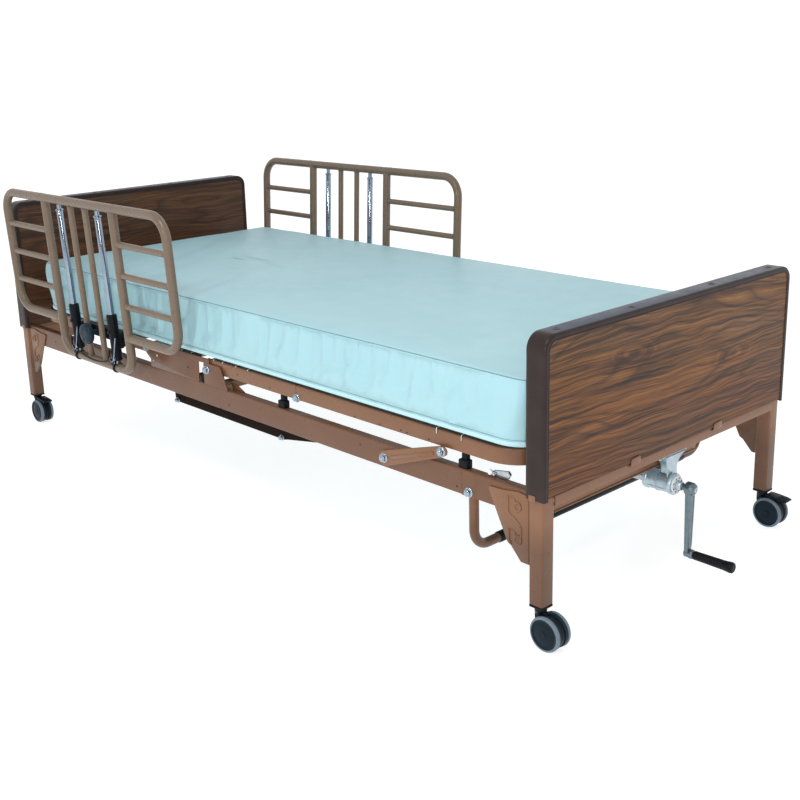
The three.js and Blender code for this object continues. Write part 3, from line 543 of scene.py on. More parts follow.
# painted shade: the head board is a darker, bluer, flatter copy of the same laminate
WALNUT_HEAD_SHADED = walnut_material("walnut_laminate_head_shaded", (0.66, 0.66, 0.76), 0.38)
TRIM = plastic("trim_dark_brown", (0.024, 0.014, 0.013), 0.34, 0.07, 500.0, 0.10, light=(0.031, 0.019, 0.018), spec=0.22)
TRIM_TOP = plastic("trim_top_grey", (0.066, 0.074, 0.098), 0.42, 0.08, 500.0, 0.0, light=(0.084, 0.094, 0.120), spec=0.12)
SCREW_DARK = metal("screw_dark", (0.06, 0.06, 0.065), 0.4, 0.1)
VINYL = vinyl_material("vinyl_aqua", (0.352, 0.582, 0.640), (0.370, 0.600, 0.655), (0.334, 0.562, 0.622))
VINYL_PIPE = vinyl_material("vinyl_piping", (0.45, 0.68, 0.73), (0.47, 0.70, 0.75), (0.43, 0.66, 0.71))
THREAD = vinyl_material("seam_thread", (0.115, 0.205, 0.235), (0.13, 0.225, 0.255), (0.10, 0.185, 0.215))
# painted reflection: the chrome's colour is lowered and blued to stand in for the dark studio reflections on the posts
CHROME_DARKENED_REFLECTION = metal("chrome", (0.27, 0.33, 0.41), 0.15, 0.06, 30.0, 200.0, 0.02)
BRIGHT = metal("chrome_bright", (0.78, 0.82, 0.86), 0.22, 0.08, 30.0, 200.0, 0.02)
BOLT = metal("zinc_blue", (0.36, 0.44, 0.50), 0.26, 0.10, 140.0, 400.0, 0.06)
ZINC = metal("zinc", (0.42, 0.46, 0.50), 0.28, 0.10, 140.0, 500.0, 0.08)
# painted light and shade: one cast aluminium in two copies, the gear housing's lightened against the shadow under the
# beam and the crank arm's darkened
CAST_GEAR_LIT = metal("cast_aluminium_gear_lit", (0.44, 0.54, 0.60), 0.38, 0.10, 90.0, 260.0, 0.40, metallic=0.7)
CAST_ARM_SHADED = metal("cast_aluminium_arm_shaded", (0.155, 0.205, 0.232), 0.36, 0.10, 90.0, 260.0, 0.30, metallic=0.9)
BLACK = plastic("plastic_black", (0.005, 0.007, 0.010), 0.36, 0.08, spec=0.12)
KNOB = plastic("knob_navy", (0.013, 0.028, 0.044), 0.40, 0.07, spec=0.14)
BLACK_SOFT = rubber_material("rubber_black", (0.006, 0.007, 0.009), 0.5)
WHEEL_FACE = plastic("wheel_face", (0.006, 0.014, 0.022), 0.36, 0.07, spec=0.10)
# painted shade: the recessed channel gets a near-black colour for the shade under the rail
CHANNEL_SHADE = plastic("paint_brown_channel_shade", (0.012, 0.007, 0.005), 0.75, 0.05, spec=0.05)
GRIP = rubber_material("grip_black", (0.006, 0.008, 0.011), 0.42)
TREAD = rubber_material("tread_grey", (0.150, 0.195, 0.240), 0.42)
NYLON = plastic("nylon_white", (0.62, 0.64, 0.64), 0.45, 0.06, 400.0, 0.08)
WIRE = spring_wire("spring_wire")
# painted shade: flat near-black discs stand for the shade inside holes and recesses
HOLE_SHADE = plastic("recess_painted_shade", (0.012, 0.009, 0.008), 0.7, 0.05)


# -------------------------------------------------------------------- pieces
def make(name, g, mat, angle=32.0, matrix=None):
    bm = bmesh.new()
    vs = [bm.verts.new(P(p)) for p in g.v]
    for q in g.f:
        try:
            bm.faces.new([vs[i] for i in q])
        except ValueError:
            pass
    bmesh.ops.remove_doubles(bm, verts=bm.verts, dist=2e-6)
    bmesh.ops.recalc_face_normals(bm, faces=bm.faces)
    me = bpy.data.meshes.new(name)
    bm.to_mesh(me)
    bm.free()
    for p in me.polygons:
        p.use_smooth = True
    me.set_sharp_from_angle(angle=RAD(angle))
    me.materials.append(mat)
    o = bpy.data.objects.new(name, me)
    scene.collection.objects.link(o)
    return o


def piece(name, g, mat, body, replaces=(), angle=32.0):
    o = make(name, g, mat, angle)
    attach(o, body)
    if replaces:
        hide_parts(*replaces)
    return o


def paint_node(nodename, mat):
    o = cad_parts[nodename]
    o.data.materials.clear()
    o.data.materials.append(mat)
    for p in o.data.polygons:
        p.material_index = 0


# ------------------------------------------------------------- bed ends
HX, HY = 1117.5, 457.0
LEG_X, LEG_Y, LEG_W = 1091.5, 433.0, 36.0


def square_tube(cx, cy, w, wall, z0, z1, rc=4.5):
    """Vertical rounded square tube, open inside."""
    def ring(h, r, z):
        pts = round_poly([(-h, -h), (h, -h), (h, h), (-h, h)], r, 5)
        return [(cx + x, cy + y, z) for x, y in pts]
    h, k = w / 2, w / 2 - wall
    rings = [ring(h, rc, z0 + 0.5), ring(h, rc, z1), ring(k, rc - 2, z1), ring(k, rc - 2, z0 + 0.5), ring(k + 0.5, rc - 1.5, z0), ring(h - 0.5, rc - 0.5, z0)]
    n = len(rings[0])
    g = G([p for r in rings for p in r])
    for i in range(len(rings)):
        j = (i + 1) % len(rings)
        g.f += [(i * n + q, i * n + (q + 1) % n, j * n + (q + 1) % n, j * n + q) for q in range(n)]
    return g


def end_frame(e):
    """Legs, cross beam and corner plates of one end, modelled at the foot and mirrored for the head."""
    g = G()
    for s in (-1, 1):
        g.add(square_tube(LEG_X, s * LEG_Y, LEG_W, 2.5, 93, 598))
        # pressed dimple that holds the leg cap
        outline = round_poly([(958, 318), (1013, 208), (1022, 204), (1049, 175), (LEG_X - 17, 175), (LEG_X - 17, 322), (1040, 326), (1000, 320)], [5, 9, 4, 6, 1, 1, 6, 3], 5)
        y0, y1 = (s * 443.6, s * 446.6)
        g.add(prism(outline, "xz", min(y0, y1), max(y0, y1), 0.9, 2))
        yo = s * 446.4
        # folded stiffening edge beside the leg
        g.add(tube(fillet([(1068, yo, 318), (1068, yo, 262), (1069.5, yo, 178)], 8, 4), 2.2, 10, round_end=1.5))
        # pressed S-shaped rib
        rib = fillet([(1014.6, yo, 312), (1014.6, yo, 276), (1030, yo, 267), (1049.5, yo, 252), (1049.5, yo, 226)], [0, 7, 14, 9, 0], 6)
        g.add(tube(rib, 2.5, 10, round_end=2.0))
        g.add(tube(fillet([(1017.3, yo, 241), (1017.3, yo, 214), (1024, yo, 207)], 4, 4), 2.3, 10, round_end=2.0))
        # hooked keyhole pressings
        for cx, cz in ((1040.5, 294), (1041.5, 222)):
            g.add(lathe([(0, s * -1.0), (11.0, s * -1.0), (11.0, s * 0.4), (10.2, s * 2.2), (8.6, s * 2.8), (7.0, s * 2.2), (6.2, s * 0.9), (0, s * 0.6)], "y", (cx, yo, cz), 22))
            g.add(tube(fillet([(cx - 19, yo, cz + 17), (cx - 10, yo, cz + 15), (cx - 5, yo, cz + 7), (cx - 3, yo, cz + 1), (cx + 4, yo, cz + 8)], 6, 4), 2.4, 10, round_end=2.0))
    yi = LEG_Y - LEG_W / 2 + 1.0
    # cross beam: folded top, outer lip and inner web
    beam = round_poly([(1072, 329.2), (1112.3, 329.2), (1112.3, 306.4), (1108.8, 306.4), (1108.8, 325.4), (1075.4, 325.4), (1075.4, 322.4), (1072, 322.4)], [3.5, 3.5, 1.2, 1.2, 1.5, 1.5, 1, 1], 4)
    g.add(prism(beam, "xz", -yi, yi, 0.0))
    web = round_poly([(-yi, 268.4), (140, 268.4), (162.6, 322.5), (-yi, 322.5)], [1, 7, 3, 1], 4)
    g.add(prism(web, "yz", 1072, 1075, 0.8))
    # rolled lower edge of the inner web
    g.add(tube([(1075.2, -yi, 270.6), (1075.2, 138, 270.6)], 2.2, 10, round_end=1.5))
    return g if e > 0 else g.mx()


def trim_sweep(top):
    """Edge trim of a panel: (face and edge profile) along a rounded outline. Returns side and top parts."""
    R = 34.0
    # profile in (x across the thickness, n outward), closed
    x0, x1 = HX - 50, HX
    pr = [(x0 + 1.5, -9.2), (x0 + 1.45, -13.2), (x0 + 0.7, -13.9), (x0 + 0.1, -13.2), (x0 + 0.2, -12.0), (x0 + 0.9, -11.2), (x0 + 0.1, -10.3), (x0, -7.0),
          (x0 + 0.0, -4.5), (x0 + 0.8, -2.2), (x0 + 2.3, -0.7), (x0 + 4.6, 0.0),
          (x0 + 12, 0.0), (x0 + 25, 0.0), (x0 + 38, 0.0),
          (x1 - 4.6, 0.0), (x1 - 2.3, -0.7), (x1 - 0.8, -2.2), (x1, -4.5),
          (x1, -7.0), (x1 - 0.1, -10.3), (x1 - 0.9, -11.2), (x1 - 0.2, -12.0), (x1 - 0.1, -13.2), (x1 - 0.7, -13.9), (x1 - 1.45, -13.2), (x1 - 1.5, -9.2)]
    path = []   # (y, z, ny, nz)
    z0 = 324.2
    for z in np.linspace(z0, top - R, 7):
        path.append((-HY, z, -1.0, 0.0))
    for k in range(1, 11):
        a = math.pi - (math.pi / 2) * k / 10
        path.append((-HY + R + R * COS(a), top - R + R * SIN(a), COS(a), SIN(a)))
    for y in np.linspace(-HY + R, HY - R, 9)[1:]:
        path.append((float(y), top, 0.0, 1.0))
    for k in range(1, 11):
        a = math.pi / 2 - (math.pi / 2) * k / 10
        path.append((HY - R + R * COS(a), top - R + R * SIN(a), COS(a), SIN(a)))
    for z in np.linspace(top - R, z0, 7)[1:]:
        path.append((HY, float(z), 1.0, 0.0))
    g = G()
    for y, z, ny, nz in path:
        for x, n in pr:
            g.v.append((x, y + n * ny, z + n * nz))
    k = len(pr)
    for i in range(len(path) - 1):
        for q in range(k):
            r = (q + 1) % k
            g.f.append((i * k + q, i * k + r, (i + 1) * k + r, (i + 1) * k + q))
    g.f.append(tuple(range(k)))
    g.f.append(tuple((len(path) - 1) * k + q for q in range(k)))
    return g


def panel_top_strip(top):
    """Satin strip let into the upper edge of the trim."""
    x0, x1 = HX - 50, HX
    g = box(x0 + 5.0, x1 - 5.0, -HY + 36, HY - 36, top - 2.0, top + 0.25, 0.5, 2)
    return g


def panel_screws(top):
    sc, rim = G(), G()
    for y in (-HY + 62, -150, 150, HY - 62):
        c = (HX - 25, y, top)
        rim.add(lathe(rounded_ring(4.4, 8.2, -0.8, 1.1, 0.6), "z", c, 24))
        sc.add(lathe([(0, -2.0), (4.6, -2.0), (4.6, 0.1), (3.6, 0.6), (1.4, 0.5), (0, -0.5)], "z", c, 20))
    return sc, rim


for end, e, top in (("foot", 1, 663.0), ("head", -1, 735.0)):
    M = (lambda g: g) if e > 0 else (lambda g: g.mx())
    piece(f"{end}_frame_weldment", end_frame(e), BROWN, "bed_frame", (f"{end}_end_frame",))
    paint_node(f"{end}_board", WALNUT if e > 0 else WALNUT_HEAD_SHADED)
    piece(f"{end}_edge_trim", M(trim_sweep(top)), TRIM, "bed_frame", (f"{end}_trim",))
    piece(f"{end}_top_strip", M(panel_top_strip(top)), TRIM_TOP, "bed_frame")
    sc, rim = panel_screws(top)
    piece(f"{end}_panel_screws", M(sc), SCREW_DARK, "bed_frame")
    piece(f"{end}_panel_screw_cups", M(rim), TRIM, "bed_frame")
    # brown tabs of the legs that hold the trim feet, and a hanging tab in the middle
    tabs = G()
    for s in (-1, 1):
        tabs.add(box(1078, 1095, s * 457.2 - 1.2, s * 457.2 + 1.2, 320, 334, 0.9))
    for y in (-154.0, 164.0):
        tabs.add(prism(round_poly([(y - 19, 322), (y - 15, 339), (y + 15, 341), (y + 19, 322)], 4, 4), "yz", 1116.2, 1118.4, 0.7, 2))
        tabs.add(box(1111.6, 1117.6, y - 18, y + 18, 322.4, 325.0, 0.8))
    piece(f"{end}_frame_tabs", M(tabs), BROWN, "bed_frame")

# ---------------------------------------------------- telescoping inner legs
for end, e in (("foot", 1), ("head", -1)):
    g, caps = G(), G()
    for s in (-1, 1):
        tag = f"{end}_{'near' if s < 0 else 'far'}"
        g = square_tube(e * LEG_X, s * LEG_Y, 30.0, 2.5, 89, 452, 3.5)
        piece(f"inner_leg_tube_{tag}", g, ZINC, f"{end}_legs", (f"inner_leg_{tag}",))
        h = 18.3
        cap = prism([(e * LEG_X + x, s * LEG_Y + y) for x, y in round_poly([(-h, -h), (h, -h), (h, h), (-h, h)], 4, 4)], "xy", 86.9, 91.6, 1.3, 3)
        cap.add(lathe(disc(14.0, 86.2, 88, 0.6), "z", (e * LEG_X, s * LEG_Y, 0), 24))
        piece(f"leg_cap_{tag}", cap, BLACK, f"{end}_legs")

# ------------------------------------------------------------------- casters
for tag, ex, ey, braked in (("foot_near", 1, -1, False), ("foot_far", 1, 1, True), ("head_near", -1, -1, True), ("head_far", -1, 1, False)):
    cx, cy = ex * LEG_X, ey * LEG_Y
    ax = cx + 25.0
    R = 38.0
    hood = G()
    # neck, swelling into the hood
    hood.add(lathe([(0, 70), (11.5, 70), (11.2, 74), (12.0, 77.2), (13.2, 78.6), (13.2, 84.8), (12.4, 85.8), (0, 85.8)], "z", (cx, cy, 0), 28))
    # round hood disc between the wheels, with a lobe running forward to the swivel
    lobe = round_poly([(cx - 13, 80), (cx - 13, 62), (cx - 9, 40), (cx + 2, 24), (cx + 20, 34), (cx + 20, 78)], [3, 6, 10, 6, 3, 3], 5)
    hood.add(prism(lobe, "xz", cy - 5.2, cy + 5.2, 1.6, 3))
    hood.add(lathe([(0, -4.2), (33.5, -4.2), (34.9, -2.9), (35.4, 0), (34.9, 2.9), (33.5, 4.2), (0, 4.2)], "y", (ax, cy, 38), 56))
    hood.add(tube([(ax, cy - 23, 38), (ax, cy + 23, 38)], 3.9, 16))
    # stem
    hood.add(tube([(cx, cy, 84), (cx, cy, 120)], 5.5, 16, round_end=1.5))
    piece(f"caster_body_{tag}", hood, BLACK, f"caster_{tag}", (f"caster_fork_{tag}",))
    tread, face, bolt = G(), G(), G()
    for s in (-1, 1):
        y0 = cy + s * 5.0
        # tyre: rounded band
        prof = [(32.6, 8.0), (36.0, 8.0), (37.5, 8.8), (38.0, 10.4), (38.0, 13.0), (37.5, 14.8), (36.3, 16.2), (34.6, 17.0), (33.2, 17.2), (32.6, 16.6)]
        tread.add(lathe([(r, s * h) for r, h in prof], "y", (ax, y0, 38), 72))
        # dished outer face with a moulded rim, and a plain inner face
        face_p = [(0, 0.6), (35.8, 0.6), (37.0, 1.5), (37.1, 8.2), (32.8, 8.6), (32.8, 15.6), (32.0, 16.7), (30.0, 16.3), (28.0, 15.0), (26.8, 14.9), (22.0, 15.9), (15.0, 16.7), (9.0, 17.0), (8.4, 16.4), (7.4, 16.3), (6.8, 17.1), (3.5, 17.4), (0, 17.5)]
        face.add(lathe([(r, s * h) for r, h in face_p], "y", (ax, y0, 38), 72))
    o = piece(f"caster_tyres_{tag}", tread, TREAD, f"wheels_{tag}", (f"caster_wheels_{tag}",), angle=40)
    o = piece(f"caster_faces_{tag}", face, WHEEL_FACE, f"wheels_{tag}", angle=40)
    if braked:
        pts = [(17, 79.0), (30, 78.6), (50, 76.0), (66, 73.6), (72, 74.2), (72.5, 77.6), (64, 80.2), (48, 82.0), (30, 83.4), (17, 83.6)]
        ped = prism([(cx + x, z) for x, z in round_poly(pts, 1.2, 3)], "xz", cy - 14.5, cy + 14.5, 1.5, 3)
        for k in range(4):
            x = cx + 50 + k * 5.0
            ped.add(tube([(x, cy - 11, 82.4 - (k * 5.0) * 0.115), (x, cy + 11, 82.4 - (k * 5.0) * 0.115)], 1.0, 8, round_end=0.8))
        ped.add(tube([(cx + 18.5, cy - 15, 81.2), (cx + 18.5, cy + 15, 81.2)], 2.4, 12, round_end=0.8))
        piece(f"brake_lever_{tag}", ped, BLACK, f"brake_{tag}", (f"brake_pedal_{tag}",))

# ----------------------------------------------------------------- gearboxes
GZ = 234.0
for end, e in (("foot", 1), ("head", -1)):
    M = (lambda g: g) if e > 0 else (lambda g: g.mx())
    x_out = 1118.0 if e > 0 else 1106.0
    x_nose = 1136.0 if e > 0 else 1117.0
    body = G()
    prof = [(0, 1043), (22.0, 1043), (24.0, 1044.2), (24.6, 1046), (24.6, 1052), (23.4, 1053.5), (22.6, 1055), (22.6, x_out - 11), (23.6, x_out - 9), (25.0, x_out - 8), (25.0, x_out - 1.5), (24.0, x_out)]
    if e > 0:
        prof += [(20.8, x_out + 0.6), (20.2, x_out + 2.0), (10.6, x_out + 2.0), (10.4, x_nose - 1.4), (9.6, x_nose - 0.4), (8.4, x_nose), (8.4, x_nose - 4), (0, x_nose - 4)]
    else:
        prof += [(16.0, x_out + 3), (15.0, x_nose - 2), (14.0, x_nose - 0.5), (0, x_nose - 0.5)]
    body.add(lathe(prof, "x", (0, 0, GZ), 40))
    # neck that rises to the beam and flares into a broad foot
    neck = G()
    rings_n = 16
    for k in range(rings_n):
        w = k / (rings_n - 1)
        yc, zc = 11.0 + 0.5 * w, GZ + 4 + (300.5 - GZ - 4) * w
        hy = 19.5 - 3.0 * math.sin(math.pi * min(1.0, w * 1.3)) + 24.0 * max(0.0, (w - 0.42) / 0.58) ** 2.0
        hx = 14.5 - 2.0 * math.sin(math.pi * w) + 3.0 * max(0.0, (w - 0.7) / 0.3) ** 2
        for y, x in round_poly([(-hy, -hx), (hy, -hx), (hy, hx), (-hy, hx)], hx * 0.42, 5):
            neck.v.append((1091 + x, yc + y, zc))
    kn = len(neck.v) // rings_n
    for q in range(rings_n - 1):
        neck.f += [(q * kn + t, q * kn + (t + 1) % kn, (q + 1) * kn + (t + 1) % kn, (q + 1) * kn + t) for t in range(kn)]
    neck.f += [tuple(range(kn)), tuple((rings_n - 1) * kn + t for t in range(kn))]
    body.add(neck)
    body.add(prism(round_poly([(-33, 303), (56, 303), (56, 299), (-33, 299)], 1.6, 3), "yz", 1079, 1105.6, 1.0, 2))
    # raised web down the outer face of the neck
    if e > 0:
        body.add(prism(round_poly([(-14, GZ + 14), (0, GZ + 14), (6, 298), (-22, 298)], [4, 4, 3, 3], 4), "yz", 1103.0, 1107.0, 1.4, 2))
    for a in range(2):
        t = RAD(205 + 130 * a)
        body.add(tube([(1057, 22.2 * COS(t), GZ + 22.2 * SIN(t)), (x_out - 12, 22.2 * COS(t), GZ + 22.2 * SIN(t))], 1.5, 8, round_end=1.0))
    body.add(lathe([(22.0, 0), (24.2, 0.4), (24.6, 1.6), (24.4, 3.2), (22.0, 4.0)], "x", (1076, 0, GZ), 40))
    piece(f"{end}_gear_housing", M(body), CAST_GEAR_LIT, "bed_frame", (f"{end}_gearbox",), angle=38)
    sc = G()
    for y, z in ((-27, 300), (47, 300)):
        sc.add(hex_bolt((1084, y, 296.2), "z", -1, 5.2, 4.2).move(8, 0, 0))
    for a in range(3):
        t = RAD(90 + 120 * a)
        sc.add(lathe([(0, 0), (2.4, 0), (2.4, 1.3), (1.8, 1.9), (0, 1.9)], "x", (x_out - 0.6, 22.8 * COS(t), GZ + 22.8 * SIN(t)), 12))
    piece(f"{end}_gear_screws", M(sc), ZINC, "bed_frame")
    if e > 0:
        # moulded bearing ring with a circle of small recesses
        piece(f"{end}_gear_ring", lathe([(10.8, 0), (20.0, 0), (20.8, 0.7), (20.8, 2.2), (20.0, 3.2), (11.6, 3.2), (10.8, 2.6)], "x", (x_out + 1.6, 0, GZ), 40), NYLON, "bed_frame")
        # the recesses are dark discs painted with the shade inside them
        pits = G()
        for a in range(8):
            t = RAD(22 + 45 * a)
            pits.add(lathe([(0, 0), (1.9, 0), (1.9, 0.5), (0, 0.5)], "x", (x_out + 4.6, 15.8 * COS(t), GZ + 15.8 * SIN(t)), 14))
        piece(f"{end}_gear_ring_recesses", pits, HOLE_SHADE, "bed_frame")
    plug = lathe([(0, -3.4), (15.2, -3.4), (16.8, -2.0), (17.2, 0), (16.8, 1.2), (0, 1.2)], "x", (1042.6 + 2.6, 0, GZ), 32)
    piece(f"{end}_gear_plug", M(plug), BLACK, "bed_frame")
    piece(f"{end}_lift_shaft", M(sweep([(1094, -414.5, 313), (1094, 414.5, 313)], round_poly([(-4.6, -4.6), (4.6, -4.6), (4.6, 4.6), (-4.6, 4.6)], 1.2, 3), up=(0, 0, 1))), ZINC, f"{end}_shaft", (f"{end}_cross_shaft",))

# --------------------------------------------------------------------- crank
arm = G()
arm.add(lathe([(0, 1138), (6.8, 1138), (7.4, 1139), (7.4, 1146.4), (13.2, 1146.4), (14.7, 1147.6), (15.0, 1149.5), (15.0, 1160), (14.4, 1163), (12.6, 1166.4), (9.0, 1169.0), (5.0, 1169.9), (0, 1170)], "x", (0, 0, GZ), 36))
n_st = 15
path, sc = [], []
for k in range(n_st):
    w = k / (n_st - 1)
    path.append((1155.5, 0.0, GZ - 2 + (82 - GZ + 2) * w))
    sc.append(w)
arm_g = G()
for k, p in enumerate(path):
    w = k / (n_st - 1)
    hw = 13.2 - 4.4 * w
    ht = 6.3 - 0.9 * w
    for x, y in round_poly([(-ht, -hw), (ht, -hw), (ht, hw), (-ht, hw)], 3.4, 4):
        arm_g.v.append((p[0] + x, y, p[2]))
kk = len(arm_g.v) // n_st
for i in range(n_st - 1):
    for q in range(kk):
        r = (q + 1) % kk
        arm_g.f.append((i * kk + q, i * kk + r, (i + 1) * kk + r, (i + 1) * kk + q))
arm_g.f += [tuple(range(kk)), tuple((n_st - 1) * kk + q for q in range(kk))]
arm.add(arm_g)
# raised rim along the outer face of the arm
for s in (-1, 1):
    arm.add(tube([(1161.3, s * 8.8, GZ - 18), (1160.6, s * 5.6, 98)], 1.3, 8, round_end=1.0))
arm.add(lathe([(0, 1149.4), (8.2, 1149.4), (9.4, 1150.4), (9.8, 1152), (9.8, 1160), (10.4, 1162), (10.8, 1164), (10.8, 1168), (10.2, 1170.4), (8.6, 1171.8), (0, 1171.8)], "x", (0, 0, 80), 32))
arm.add(tube([(1170, 0, 80), (1255.5, 0, 80)], 4.4, 16, round_end=1.0))
piece("crank_lever", arm, CAST_ARM_SHADED, "crank", ("crank_arm",), angle=38)
piece("crank_hub_screw", lathe([(0, 1169), (6.4, 1169), (6.4, 1170.2), (5.8, 1170.9), (2.4, 1171.1), (2.0, 1170.2), (0, 1170.2)], "x", (0, 0, GZ), 24), ZINC, "crank")
gp = [(5.6, 1173.6), (9.2, 1173.3), (10.0, 1174.4), (10.2, 1177)]
x = 1180.0
while x < 1248:
    r = 10.3 + (x - 1180) * 0.016
    gp += [(r - 0.1, x), (r - 0.95, x + 1.3), (r - 0.95, x + 2.5), (r, x + 3.7)]
    x += 5.4
gp += [(11.4, 1252), (11.9, 1258), (12.5, 1261.5), (12.6, 1266.5), (12.0, 1269.8), (10.0, 1271.5), (6.0, 1271.9), (0, 1271.9), (0, 1258.5), (5.6, 1258.5)]
piece("crank_handle_grip", lathe(gp, "x", (0, 0, 80), 32, close=True), GRIP, "grip", ("crank_grip",), angle=50)

# --------------------------------------------------------------- drive shaft
sh = G()
sq = lambda h, r: round_poly([(-h, -h), (h, -h), (h, h), (-h, h)], r, 4)
sh.add(sweep([(-1004, 0, GZ), (58, 0, GZ)], sq(7.7, 1.6), up=(0, 0, 1)))
sh.add(sweep([(41, 0, GZ), (44, 0, GZ), (1001, 0, GZ), (1004, 0, GZ)], sq(9.8, 2.0), up=(0, 0, 1), scale=[0.94, 1, 1, 0.94]))
piece("drive_shaft_bars", sh, BROWN, "shaft", ("drive_shaft",))
cp = G()
for s in (-1, 1):
    cp.add(lathe([(0, s * 999), (11.4, s * 999), (12.8, s * 1000.5), (12.8, s * 1038.5), (11.4, s * 1040.4), (0, s * 1040.4)], "x", (0, 0, GZ), 28))
    cp.add(lathe([(0, 0), (3.0, 0), (3.0, 0.8), (2.4, 1.2), (0, 1.2)], "z", (s * 1019, 0, GZ + 11.9), 14))
piece("drive_shaft_couplers", cp, ZINC, "shaft")

# ---------------------------------------------------------------- base rails
rails = G()
full = round_poly([(443, 275), (443, 333), (420.5, 333), (420.5, 330.2), (440, 330.2), (440, 277.8), (420.5, 277.8), (420.5, 275)], [4.2, 4.2, 1.2, 1.2, 1.8, 1.8, 1.2, 1.2], 5)
notched = round_poly([(443, 275), (443, 333), (420.5, 333), (420.5, 330.2), (440, 330.2), (440, 275)], [1.2, 4.2, 1.2, 1.2, 1.8, 1.2], 5)
for prof, x0, x1 in ((full, -1062, 882), (notched, 881.5, 922.5), (full, 922, 1062)):
    g = G()
    for x in (x0, x0 + 0.8, x1 - 0.8, x1):
        g.v += [(x, y, z) for y, z in prof]
    k = len(prof)
    for i in range(3):
        g.f += [(i * k + q, i * k + (q + 1) % k, (i + 1) * k + (q + 1) % k, (i + 1) * k + q) for q in range(k)]
    g.f += [tuple(range(k)), tuple(3 * k + q for q in range(k))]
    rails.add(g)
# seat plate with its ear for the back pivot
ear = round_poly([(-368, 380), (-330, 352), (-330, 331), (-91, 331), (-88, 389.5), (-38, 391.0), (-38, 404.5), (-330, 404.5), (-362, 400)], [8, 3, 1, 2, 2, 1, 2, 3, 8], 5)
rails.add(prism(ear, "xz", 440.1, 443.0, 1.0, 2))
rails.add(box(-322, -80, 417.5, 441.5, 401.8, 404.9, 1.0, 2))
thigh_plate = round_poly([(-66, 331), (43, 331), (15, 386), (6, 391.5), (-66, 391.5)], [3, 3, 4, 4, 5], 6)
rails.add(prism(thigh_plate, "xz", 440.1, 443.0, 1.0, 2))
# short foot of that plate on the rail's upper flange
rails.add(prism(round_poly([(34, 332.4), (92, 332.4), (52, 350), (34, 350)], 1.0, 2), "xz", 421, 424, 0.6))
rails.add(box(10, 40, 421, 441, 348, 350.6, 0.8, 2))
# rolled lip down the free edge of that plate
rails.add(sweep([(15.0, 444.6, 385.0), (42.4, 444.6, 332.0)], round_poly([(-1.4, -1.9), (1.4, -1.9), (1.4, 1.9), (-1.4, 1.9)], 1.0, 3), up=(0.9, 0, 0.45)))
# stiffening channel hung under each rail, set back and painted near-black for the shade it sits in
ch = round_poly([(-240, 276), (-238, 252), (-230, 244.4), (252, 244.4), (266, 248), (430, 276)], [1, 4, 5, 5, 8, 1], 5)
hung = prism(ch, "xz", 425.2, 428.0, 0.8, 2)
hung.add(box(-228, 250, 402.2, 427, 244.2, 247.0, 0.9, 2))
piece("stiffening_channels", both(hung), CHANNEL_SHADE, "bed_frame")
piece("base_rails_near", rails.my(), BROWN_RAIL_SHADED, "bed_frame", ("base_rail_near",))
piece("base_rails_far", rails, BROWN_RAIL_SHADED, "bed_frame", ("base_rail_far",))

# punched holes, shown as shallow dark sockets
# each hole is a dark disc painted with the shade inside it
holes = G()
for s in (-1, 1):
    for x, z, r in ((868, 291, 2.6), (42, 294, 2.4), (4, 277.5, 2.2), (-140, 364, 3.4), (-86, 341, 3.0), (-640, 304, 2.6), (-900, 304, 2.6), (560, 310, 2.4)):
        holes.add(lathe([(0, s * 443.15), (r, s * 443.15), (r, s * 442.2), (0, s * 442.2)], "y", (x, 0, z), 18))
piece("rail_holes", holes, HOLE_SHADE, "bed_frame")
slots = G()
for s in (-1, 1):
    for x, z in ((-295, 369), (-318, 352)):
        slots.add(lathe([(0, s * 443.9), (2.6, s * 443.9), (3.4, s * 443.3), (3.4, s * 442.2), (0, s * 442.2)], "y", (x, 0, z), 14))
piece("rail_rivets", slots, BRIGHT, "bed_frame")

members = G()
for x0, x1 in ((-262, -232), (-150, -120)):
    cprof = round_poly([(x0, 300), (x0, 278.6), (x1, 278.6), (x1, 300), (x1 - 2.4, 300), (x1 - 2.4, 281), (x0 + 2.4, 281), (x0 + 2.4, 300)], [1, 3, 3, 1, 1, 1.5, 1.5, 1], 4)
    members.add(prism(cprof, "xz", -439.4, 439.4, 0.0))
piece("motor_cross_members", members, BROWN, "bed_frame", ("cross_member_a", "cross_member_b"))

# ------------------------------------------------------------- pivots, bolts
fixed_bolts = G()
for s in (-1, 1):
    fixed_bolts.add(carriage_bolt((-350, s * 443.4, 385), "y", s))
    fixed_bolts.add(carriage_bolt((-52, s * 443.4, 373), "y", s))
    fixed_bolts.add(carriage_bolt((902, s * 443.4, 286), "y", s, 8.5, 11.5))
    for x in (-225, 246):
        fixed_bolts.add(carriage_bolt((x, s * 429.4, 249.5), "y", s, 6.0, 8.0))
    for x in (1001, 1030):
        fixed_bolts.add(lathe([(0, s * 0), (5.0, s * 0), (5.0, s * 1.6), (3.6, s * 2.8), (0, s * 3.2)], "y", (x, s * 419.6, 318 if x < 1010 else 300), 20))
piece("fixed_pivot_bolts", fixed_bolts, BOLT, "bed_frame", angle=45)

# black spacers and bumpers under the deck
bump_g = G()
for s in (-1, 1):
    for x in (262, 881):
        bump_g.add(box(x - 13, x + 13, s * 430 - 9, s * 430 + 9, 333.0, 352.0, 2.5, 3))
        bump_g.add(box(x - 8, x + 8, s * 428 - 6, s * 428 + 6, 350, 366.0, 2.5, 3))
for s in (-1, 1):
    bump_g.add(box(-87, -71, s * 431 - 7, s * 431 + 7, 332.6, 357, 2.0, 3))
piece("deck_bumpers", bump_g, BLACK_SOFT, "bed_frame")

